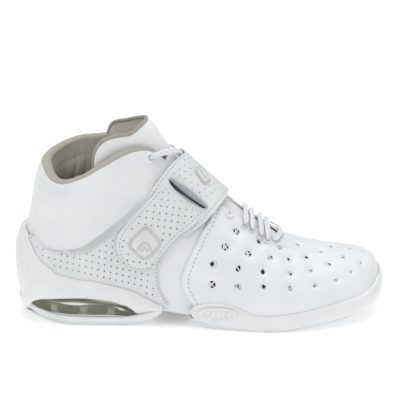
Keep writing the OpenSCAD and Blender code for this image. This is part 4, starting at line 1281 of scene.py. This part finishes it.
def strap():
    root = Patch([rib(*ROOT_BACK), rib(*ROOT_FRONT)], ROOT[1])
    sheet("strap_root_leather", root, *ROOT, M["panel"], cell=3, seam=2.6,
          holes=lattice_on(root, 5.4, 0.5, (7, 6, 6, 30)), hole_floor=M["dark"],
          slot="panel_white", replaces=["strap_root"])
    run = np.linspace(0.03, 0.7, 90)
    stitches("root_stitches", both_edges(root, 2.6, run, ROOT[1] - 0.2))
    tip = Patch([rib(*TIP_BACK), rib(*TIP_FRONT)], STRAP[1])
    badge = last(*BADGE, STRAP[1])
    holes = lattice(tip, (119.4, 86.6), (5.12, -0.8), (-5.9, -4.4), 14, 0.68, (2, 3.9, 3.9, 3.9),
                    avoid=[(badge, 14.5)])
    sheet("strap_leather", tip, *STRAP, M["panel"], cell=2.6, seam=2.4, holes=holes,
          hole_floor=M["dark"], body="strap", slot="panel_white", replaces=["strap_tip"])
    run = np.linspace(0.02, 1 - 2.4 / tip.high, 80)
    side = np.linspace(2.4 / tip.wide, 1 - 2.4 / tip.wide, 30)
    rows = both_edges(tip, 2.4, run, STRAP[1] - 0.2)
    rows.append(along(tip, side, 1 - 2.4 / tip.high, STRAP[1] - 0.2))
    stitches("strap_stitches", rows, "strap")
    for name, low, high, finish, body in (("hook_patch", 3.7, 4.9, "hook", "strap"),
                                          ("loop_patch", 2.5, 3.4, "loop", "shoe")):
        patch = Patch([rib(*PATCH_BACK), rib(*PATCH_FRONT)], high)
        sheet(name + "_tape", patch, low, high, M[finish], cell=2, body=body,
              slot=finish + "_white", replaces=[name])

    fold = sheet_between()
    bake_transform(fold)
    plate("strap_badge_plate", *BADGE, 21.5, 21.5, 45, STRAP[1] + 0.1, STRAP[1] + 0.9, 2.2, 0.7,
          M["badge"], "strap", "badge_grey", ["strap_badge"], M["badge_field"], 40)
    # a plain pair of nested arches stands for the mark
    arches = [[[-4.8, -5.6], [-3.5, -1.8], [0, 0.4], [3.5, -1.8], [4.8, -5.6]],
              [[-2.1, -6.4], [-1.4, -4.2], [0, -3.4], [1.4, -4.2], [2.1, -6.4]]]
    strokes("strap_badge_mark", *BADGE, 0, STRAP[1] + 1.0, arches, 0.9, M["badge"],
            "strap", "badge_grey")
    plate("band_emblem_plate", *EMBLEM, 15, 9, -42, BAND[1] + 0.1, BAND[1] + 1.2, 1.4, 0.5,
          M["badge"], "shoe", "badge_grey", ["band_emblem"], M["badge_field"], 24, 0.5)
    strokes("band_emblem_mark", *EMBLEM, -42, BAND[1] + 1.3, [[[-4, 0], [0, 0], [4, 0]]], 0.7,
            M["badge"], "shoe", "badge_grey")


def sheet_between():
    """The strap's turn up through the slot, from the part under the band to the free end."""
    back = [[10.92, -0.19], [10.93, -0.235], [10.94, -0.268], [10.95, -0.291]]
    front = [[9.02, -0.195], [9.06, -0.24], [9.09, -0.278], [9.12, -0.306]]
    rise = np.array([2.6, 2.6, 2.8, 5.2])
    patch = Patch([rib(*back), rib(*front)], 5.0)
    return sheet("strap_fold", patch, lambda s, t: spline(rise, np.clip(t, 0, 1) * 3),
                 lambda s, t: spline(rise, np.clip(t, 0, 1) * 3) + STRAP_T, M["panel"], cell=2,
                 body=None, slot="panel_white")


def lattice_on(patch, pitch, radius, margin):
    """Pinholes on an even lattice of the patch itself."""
    low, side, far, top = margin
    holes = []
    for i in range(int(patch.wide / pitch) + 1):
        for j in range(int(patch.high / pitch) + 1):
            x, y = side + i * pitch, low + j * pitch
            if x < patch.wide - far and y < patch.high - top:
                holes.append(Hole(patch, x / patch.wide, y / patch.high, radius))
    return holes


# Rows of the lace: u, depth, half thickness
LACE_ROWS = [
    [10.2, 1.6, 0.6], [9.3, 1.6, 0.6], [7.6, 5.5, 1.0], [7.33, 5.5, 1.0], [6.98, 5.5, 1.0],
    [6.72, 5.5, 1.0],
]
# Half of the top lace, from its eyelet to the middle: u, v, depth
TOP_LACE = [[12.85, 0.225, 2.2], [12.6, 0.2, 4.0], [12.1, 0.14, 4.6], [11.4, 0.06, 4.4],
            [11.05, 0.03, 3.7]]
# Eyelets of the throat: u, v, depth, outer radius, height
EYELETS = [
    [12.8, 0.22, 0.6, 4.6, 1.3], [10.2, 0.19, 0.3, 2.5, 0.4], [9.3, 0.19, 0.3, 2.5, 0.4],
    [8.2, 0.19, 2.9, 3.5, 0.9], [7.6, 0.19, 2.9, 2.5, 0.9], [7.33, 0.19, 2.9, 2.5, 0.9],
    [6.98, 0.19, 2.9, 2.5, 0.9], [6.72, 0.19, 2.9, 2.5, 0.9],
]


def tubes(all_rings):
    """Points, faces and millimetre uv of several closed tubes as one mesh."""
    points, faces, uv = [], [], []
    for rings in all_rings:
        start = len(points)
        n, k = rings.shape[:2]
        points += list(rings.reshape(-1, 3))
        uv += [[a * 0.9, b * 0.8] for a in range(n) for b in range(k)]
        for i in range(n - 1):
            for j in range(k):
                a, b = start + i * k + j, start + i * k + (j + 1) % k
                faces.append((a, a + k, b + k, b))
        faces += [tuple(start + j for j in range(k)),
                  tuple(start + (n - 1) * k + j for j in range(k))[::-1]]
    return points, faces, uv


def lacing():
    rows = []
    share = np.linspace(-1, 1, 41)
    for number, (u, depth, half) in enumerate(LACE_ROWS):
        flat = half < 1
        stops = [[u, v, depth - (0 if flat else 10 * (LACE_V - abs(v)))]
                 for v in (-LACE_V, -0.1, 0, 0.1, LACE_V)]
        route = on_route(stops, 40)
        path, across = last(*route.T), outward(*route.T)
        side = np.cross(heading(path), across)
        twist = 0 * share if flat else 0.25 * np.sin(3 * share + number)
        across = across * np.cos(twist)[:, None] + side * np.sin(twist)[:, None]
        pinch = 1 - 0.45 * smooth((np.abs(share) - 0.72) / 0.28)
        rows.append(sweep(path, across, half * (1.0 if flat else 1.3) / pinch ** 0.5,
                          2.4 * pinch, 16, 0.75))
    for sign in (1, -1):
        # the lateral end stands up plumply from its eyelet, the medial one lies flat
        route = on_route([[u, sign * v, d if sign < 0 else 2.5] for u, v, d in TOP_LACE], 40)
        full = np.sin(np.linspace(0.35, np.pi * 0.75, 41)) ** 0.5 * (1 if sign < 0 else 0.5)
        rows.append(sweep(last(*route.T), outward(*route.T), 1.6 * full, 2.5 * full, 16, 0.85))
    points, faces, uv = tubes(rows)
    make("lace_rows", points, faces, M["lace"], slot="lace_white", replaces=["lace"], uv=uv)
    points, faces = [], []
    turns = 32
    for u, v, depth, radius, high in EYELETS:
        hole = min(1.7, radius * 0.62)
        wide = radius - hole
        profile = [(0, -1.2), (0.04, 0), (0.25, 0.75), (0.5, 1), (0.8, 0.7), (1, -0.4)]
        for sign in (-1, 1):
            n = outward(u, sign * v, depth)
            centre = last(u, sign * v, depth)
            a = unit(np.cross(n, [1.0, 0, 0]))
            b = np.cross(n, a)
            start = len(points)
            for r, z in profile:
                for k in range(turns):
                    w = 2 * math.pi * k / turns
                    points.append(centre + n * (z * high) + (hole + r * wide)
                                  * (math.cos(w) * a + math.sin(w) * b))
            for i in range(len(profile)):
                for k in range(turns):
                    p, q = i * turns + k, i * turns + (k + 1) % turns
                    r, t = (p + turns) % (turns * len(profile)), (q + turns) % (turns * len(profile))
                    faces.append((start + p, start + q, start + t, start + r))
    make("eyelet_rings", points, faces, M["eyelet"], slot="eyelet_white", replaces=["eyelets"])
    route = on_route([[6.5, -0.15, 4.1], [6.35, -0.12, 4.4], [6.17, 0, 4.4], [6.35, 0.12, 4.4],
                      [6.5, 0.15, 4.1]], 60)
    strip_loft("lace_loop_tape", sweep(last(*route.T), outward(*route.T), 0.9, 2.3, 12, 0.7),
               M["lace"], slot="lace_white", replaces=["lace_loop"])


# ---------------------------------------------------------------------------
# Sole
# ---------------------------------------------------------------------------
RAND = around([
    rib(foot(8.64, 13.6), foot(8.64, 14.4), [8.66, -0.81]),
    rib(foot(8.54, 9.6), foot(8.54, 11.6), [8.56, -0.765]),
    rib(foot(8.4, 7.4), foot(8.4, 9.4), [8.4, -0.74]),
    rib(foot(8.15, 4.8), foot(8.15, 7.2), [8.15, -0.714]),
    rib(foot(7.85, 3.4), foot(7.85, 5.7), [7.85, -0.697]),
    rib(foot(7.5, 2.4), foot(7.5, 5.1), [7.52, -0.7]),
    rib(foot(7.2, 2.0), foot(7.2, 4.9), [7.22, -0.722]),
    rib(foot(6.85, 2.0), foot(6.85, 4.9), [6.9, -0.75]),
    rib(foot(6.4, 2.0), foot(6.4, 4.9), [6.45, -0.747]),
    rib(foot(6.0, 2.2), foot(6.0, 5.4), [6.02, -0.727]),
    rib(foot(5.6, 3.2), foot(5.6, 6.7), [5.62, -0.707]),
    rib(foot(5.15, 4.8), foot(5.15, 8.4), [5.2, -0.683]),
    rib(foot(4.65, 6.6), foot(4.65, 10.6), [4.68, -0.66]),
    rib(foot(4.1, 8.8), foot(4.1, 13.2), [4.09, -0.648]),
    rib(foot(3.6, 11.0), foot(3.6, 15.8), [3.6, -0.643]),
    rib(foot(3.15, 13.4), foot(3.15, 18), [3.03, -0.645]),
    rib(foot(2.8, 14.8), foot(2.75, 19), [2.45, -0.655]),
    rib(foot(2.45, 16.6), foot(2.4, 20.6), [1.87, -0.68]),
    rib(foot(2.2, 18.2), foot(2.1, 21.8), [1.38, -0.71]),
    rib(foot(2.05, 19.4), foot(1.85, 22.6), [1.0, -0.775]),
    rib([1.95, -1], [1.66, -1], [0.62, -1]),
])
# The rand's own depth, from its tucked lower edge up to its top
RAND_OUT = [1.6, 4.0, 5.5, 6.0, 6.0, 5.8, 5.4, 4.6, 3.5]
CARRIER_TOP = [
    [9.3, -0.81], [9.91, -0.732], [10.44, -0.7], [10.97, -0.687], [11.49, -0.687],
    [11.94, -0.692], [12.48, -0.72], [13.52, -0.779], [14.3, -0.833], [14.66, -0.867],
    [14.92, -0.91], [15.04, -1],
]
CARRIER_LOW = [(9.25, 13.8), (9.7, 11.2), (10.2, 9.4), (10.7, 9.2), (11.15, 9.6), (11.45, 10.2),
               (11.7, 10.6), (11.85, 10.6), (11.96, 10.4), (12.04, 10.2), (12.12, 10)]
CARRIER_OUT = [3.6, 4.4, 5.6, 6.6, 7, 6.4, 5.2, 3.6]
CARRIER_BACK = [0, 0, 0, 0, 0.2, 1.4, 2.6, 1.6]
# The window over the air unit, and the line between carrier and cup, seen from the side
WINDOW = [(12.6, 5), (13.2, 11), (13.9, 14.9), (16, 19.2), (18.8, 21.8), (24.4, 24.4),
          (37.9, 25.3), (55.8, 25.4), (69.1, 24.1), (82.4, 21.9), (91.3, 19.6), (97.5, 15.3),
          (100.4, 11.5), (101.4, 8.6), (101.6, 5)]
CUP_TOP = [(0, 20.4), (7.7, 18.7), (13.7, 14.4), (19, 11.4), (28.1, 9.2), (37.3, 8.3),
           (55.4, 7.8), (73.2, 7.6), (91.1, 8.1), (101.4, 9.8), (111.6, 12.2), (117.9, 14.6),
           (124, 17)]
CUP_LOW = [(0, 12), (6, 10.5), (9, 9), (11.8, 6.8), (19, 4), (28, 1.8), (41, 0.9), (97, 0.9),
           (104, 1.4), (108.7, 2.4), (113.2, 4.8), (119.5, 8.8), (124, 12.6)]


def height(line, x):
    """Height at x of a line given as x and z, and 0 outside it."""
    return np.interp(x, [p[0] for p in line], [p[1] for p in line], left=0, right=0)


def carrier():
    """The moulded shell round the heel, its lower edge raised over the air unit's window."""
    ribs = around([rib(foot(u, z), top) for (u, z), top in
                   zip(CARRIER_LOW, CARRIER_TOP)] + [rib([12.2, -1], CARRIER_TOP[-1])])
    base = Patch(ribs, 4.0)
    n, m = 240, 28
    s = np.linspace(0, 1, n + 1)
    k = np.linspace(0, 1, 61)
    starts = np.zeros(n + 1)
    for i, si in enumerate(s):
        p = base.at(np.full(61, si), k * 0.9, 4.0)
        open_here = p[:, 2] < height(WINDOW, p[:, 0])
        if open_here.any():
            j = np.max(np.nonzero(open_here))
            lo, hi = k[j] * 0.9, k[min(j + 1, 60)] * 0.9
            for _ in range(12):
                mid = (lo + hi) / 2
                q = base.at(np.array([si]), np.array([mid]), 4.0)[0]
                lo, hi = (mid, hi) if q[2] < height(WINDOW, q[0]) else (lo, mid)
            starts[i] = hi
    grid_t = np.concatenate([[0, 0.006, 0.02, 0.045], np.linspace(0.08, 0.93, m),
                             [0.965, 0.985, 0.995, 1]])
    ss, tt = np.meshgrid(s, grid_t, indexing="ij")
    tt = starts[:, None] + (1 - starts[:, None]) * tt
    ss, tt = ss.ravel(), tt.ravel()
    u, v = base.uv(ss, tt)
    heel = np.abs(folded(v))
    thick = spline(np.array(CARRIER_OUT), tt * 7)
    thick += spline(np.array(CARRIER_BACK, float), tt * 7) * smooth((heel - 0.87) / 0.1)
    off = np.minimum((tt - np.repeat(starts, len(grid_t))) * base.high, (1 - tt) * base.high)
    ends = np.minimum(ss, 1 - ss) * base.wide
    fall = rounded_edge(np.minimum(off, ends), 1.2)
    # a lip round the window, and a bed for the shell's top edge behind the heel
    lip = 0.4 * bell(off - 1.6, 1.2) * (tt < 0.5)
    top = thick - fall * 0.8 + lip
    bed = SHELL_IN - 2.5 * smooth((heel - 0.86) / 0.06) * smooth((tt - 0.75) / 0.15)
    points = np.concatenate([last(u, v, top), last(u, v, np.minimum(bed + fall * 0.2, top - 0.2))])
    cols = len(grid_t)
    count = (n + 1) * cols
    faces = []
    for f in grid_faces(n + 1, cols):
        faces += [f, tuple(count + q for q in f[::-1])]
    faces += [(p, count + p, count + q, q) for p, q in pairs(grid_rim(n + 1, cols))]
    mid = faces[len(faces) // 4 * 2]
    a, b, c = points[mid[0]], points[mid[1]], points[mid[2]]
    if np.dot(np.cross(b - a, c - a), outward(u[mid[0] % count], v[mid[0] % count])) < 0:
        faces = [f[::-1] for f in faces]
    uv = np.tile(base.flat(ss, tt), (2, 1))
    make("heel_carrier_shell", points, faces, M["shell"], uv=uv, slot="shell_white",
         replaces=["heel_carrier"])


def heel_ring(u_from, z, depth):
    """Points round the heel at a height and depth, from the lateral side to the medial one."""
    u_to = np.interp(z, [8, 24], [12.0, 13.0])
    us = u_to - (u_to - u_from) * np.linspace(1, 0, 70) ** 2
    side = v_at(us, z)
    u = np.concatenate([us, us[-2::-1]])
    v = np.concatenate([-side, side[-2::-1]])
    return u, v, last(u, v, depth)


def cup():
    """The cup under the carrier, from its lip down to the ground, tucked in below."""
    u, v, line = heel_ring(9.28, 14.0, 5.7)
    out = unit((line - last(u, v, 2.0)) * [1, 1, 0])
    top, low = height(CUP_TOP, line[:, 0]), height(CUP_LOW, line[:, 0])
    k = np.linspace(0, 1, 10)
    rings = []
    for p, n, hi, lo in zip(line, out, top, low):
        hi = max(hi, lo + 1.2)
        outer = [np.array([p[0], p[1], mix(hi, lo, f)]) - n * (0.5 * (f == 0) + 4.2 * f ** 2.4)
                 for f in k]
        inner = [q - n * 2.4 for q in outer[::-1]]
        rings.append(outer + inner)
    strip_loft("heel_cup", rings, M["shell"], slot="tpu_grey", replaces=["heel_tray"])


def rand():
    patch = Patch(RAND, 5.0)

    def relief(s, t, u, v):
        bumper = 1.2 * smooth((1.7 - u) / 0.8) * smooth((t - 0.6) / 0.3)
        return 0.35 * bell(t - 0.93, 0.025) + bumper

    def inside(s, t):
        sunk = 2.4 * smooth((1.7 - patch.uv(s, t)[0]) / 0.6)
        return np.minimum(SHELL_IN, spline(RAND_OUT, t * 8) - 1.4) - sunk

    sheet("forefoot_rand_shell", patch, inside,
          lambda s, t: spline(RAND_OUT, t * 8), M["shell"], cell=2.6, edge_round=1.2,
          relief=relief, slot="shell_white", replaces=["forefoot_rand"])
    # an oval badge with plain slanted bars
    plate("sole_badge_plate", *SOLE_BADGE, 33, 9.5, 2, 5.6, 6.4, 1.0, 0.4, M["shell"], "shoe",
          "shell_white", ["sole_badge"], M["badge_field"], 40, 0.9)
    bars = [[[x - 1, -2.4], [x, 0], [x + 1, 2.4]] for x in (-9, -4.5, 0, 4.5, 9)]
    strokes("sole_badge_bars", *SOLE_BADGE, 2, 6.6, bars, 0.9, M["shell"], "shoe", "shell_white")


def air():
    """The air unit: a bulging clear film round lighter columns, seen in the window."""
    heights = np.array([6.9, 7.6, 9.2, 11.6, 14.4, 17.4, 20.2, 22.6, 24.6, 26.4])
    bulge = np.array([1.2, 2.2, 3.0, 3.4, 3.5, 3.4, 3.1, 2.6, 2.0, 1.6])
    shade_wall = np.array([-8.0, -8.0, -8.0, -8.0, -8.0, -7.6, -6.0, 0.5, 0.6, 0.6])
    u, v, base = heel_ring(9.72, 14.0, 0)
    front = smooth((base[:, 0] - 72) / 30)

    def ring(z, depth):
        p = last(u, v, depth)
        low = np.maximum(6.9, height(CUP_LOW, p[:, 0]) + 2.4)
        high = mix(26.4, 13.8, front)
        p[:, 2] = low + (high - low) * (z - 6.9) / 19.5
        return p

    strip_loft("air_unit_film", [ring(z, d) for z, d in zip(heights, bulge)], M["film"],
               slot="air_film", replaces=["air_unit"])
    # the welded bead under the film, and above it a pale glossy strip, a painted highlight laid where the
    # film's reflection streaks
    for name, z, depth, size in (("fold", 18.6, 2.9, 1.5), ("bead", 8.6, 3.1, 0.6)):
        path = ring(z, depth)
        x = path[:, 0]
        # painted highlight: the upper strip swells only at the two spots where the film's reflection
        # falls
        part = bell(x - 50, 13) + 0.8 * bell(x - 88, 4) if name == "fold" else np.ones(len(x))
        up = np.array([0, 0, 1.0])
        rings = [[p + out * size * 0.55 * k * math.cos(w) + up * size * k * math.sin(w)
                  for w in np.linspace(0, 2 * np.pi, 9)[:-1]]
                 for p, out, k in zip(path, outward(u, v, depth), np.maximum(part, 0.03))]
        strip_loft("air_unit_" + name, rings, M["bead"], slot="air_film")
    # painted shade: a dark olive wall inside the film stands in for the unit's shaded inside
    strip_loft("air_unit_painted_shade_wall", [ring(z, d) for z, d in zip(heights, shade_wall)], M["shade_wall"],
               slot="air_core")
    points, faces = [], []
    turns = 24
    profile = [(0.0, 1.6), (0.12, 1.2), (0.35, 0.95), (0.65, 0.95), (0.88, 1.2), (1.0, 1.6)]
    for x, reach in ((33, 30), (57, 33.5), (80, 34.5)):
        for y in (-reach, reach):
            high = 7.5 if x < 70 else 6.5
            faces += tube_faces(len(points), len(profile), turns)
            for f, size in profile:
                for k in range(turns):
                    w = 2 * math.pi * k / turns
                    points.append([x + 3 * size * math.cos(w), y + 2.6 * size * math.sin(w),
                                   7.6 + high * f])
    make("air_unit_columns", points, faces, M["core"], slot="air_core", replaces=["air_columns"])


def cad_finishes():
    """Nodes whose own shape is right keep it and get a real material."""
    for node, finish in (("outsole_heel", "rubber"), ("outsole_forefoot", "rubber"),
                         ("heel_foam", "foam"), ("shank_plate", "shank"),
                         ("forefoot_midsole", "foam"), ("strobel_board", "board"),
                         ("heel_counter", "tan"), ("toe_puff", "tan"), ("sockliner", "liner")):
        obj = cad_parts[node]
        obj.data.materials.clear()
        obj.data.materials.append(M[finish])


# ---------------------------------------------------------------------------
# Stage
# ---------------------------------------------------------------------------
def stage():
    mesh = bpy.data.meshes.new("floor")
    half = 6.0
    mesh.from_pydata([(-half, -half, 0), (half, -half, 0), (half, half, 0), (-half, half, 0)],
                     [], [(0, 1, 2, 3)])
    floor = bpy.data.objects.new("floor", mesh)
    floor.location.z = -0.0005
    bpy.context.collection.objects.link(floor)
    m = Nodes("floor_pale", 0.9)
    m.set(m.shader, Base_Color=(0.92, 0.92, 0.92, 1), Emission_Color=(1, 1, 1, 1),
          Emission_Strength=0.3)
    mesh.materials.append(m.material)
    world = bpy.data.worlds.new("studio")
    bpy.context.scene.world = world
    world.use_nodes = True
    sky = world.node_tree.nodes["Background"]
    sky.inputs["Color"].default_value = (1, 1, 1, 1)
    sky.inputs["Strength"].default_value = 0.47
    for name, spot, size, power in (("key", (-0.9, -1.6, 1.9), 1.4, 10.3),
                                    ("fill", (1.8, -1.0, 1.2), 1.6, 4.4),
                                    ("top", (0.1, 0.3, 2.4), 2.0, 34)):
        lamp = bpy.data.lights.new(name, "AREA")
        lamp.energy, lamp.size = power, size
        light = bpy.data.objects.new(name, lamp)
        light.location = spot
        aim = Vector((0, 0, 0.06)) - Vector(spot)
        light.rotation_euler = aim.to_track_quat("-Z", "Y").to_euler()
        bpy.context.collection.objects.link(light)
    bpy.context.scene.view_settings.view_transform = "Standard"


def camera():
    """The photograph's view: level with 20 degrees above, square to the lateral side."""
    elevation, distance, view_width = math.radians(20), 1.6, 0.332
    aim = Vector(place([153.4, 3.5, 93.8]))
    back = Vector((0, -math.cos(elevation), math.sin(elevation)))
    data = bpy.data.cameras.new("camera")
    data.sensor_width = 36
    data.lens = 36 * distance / view_width
    data.clip_start, data.clip_end = 0.05, 50
    cam = bpy.data.objects.new("camera", data)
    cam.location = aim + back * distance
    cam.rotation_euler = (-back).to_track_quat("-Z", "Y").to_euler()
    bpy.context.collection.objects.link(cam)
    bpy.context.scene.camera = cam


camera()
stage()
cad_finishes()
quarters()
bootie()
cage()
side_panels()
linings()
collar()
tongue()
band()
strap()
lacing()
carrier()
cup()
rand()
air()
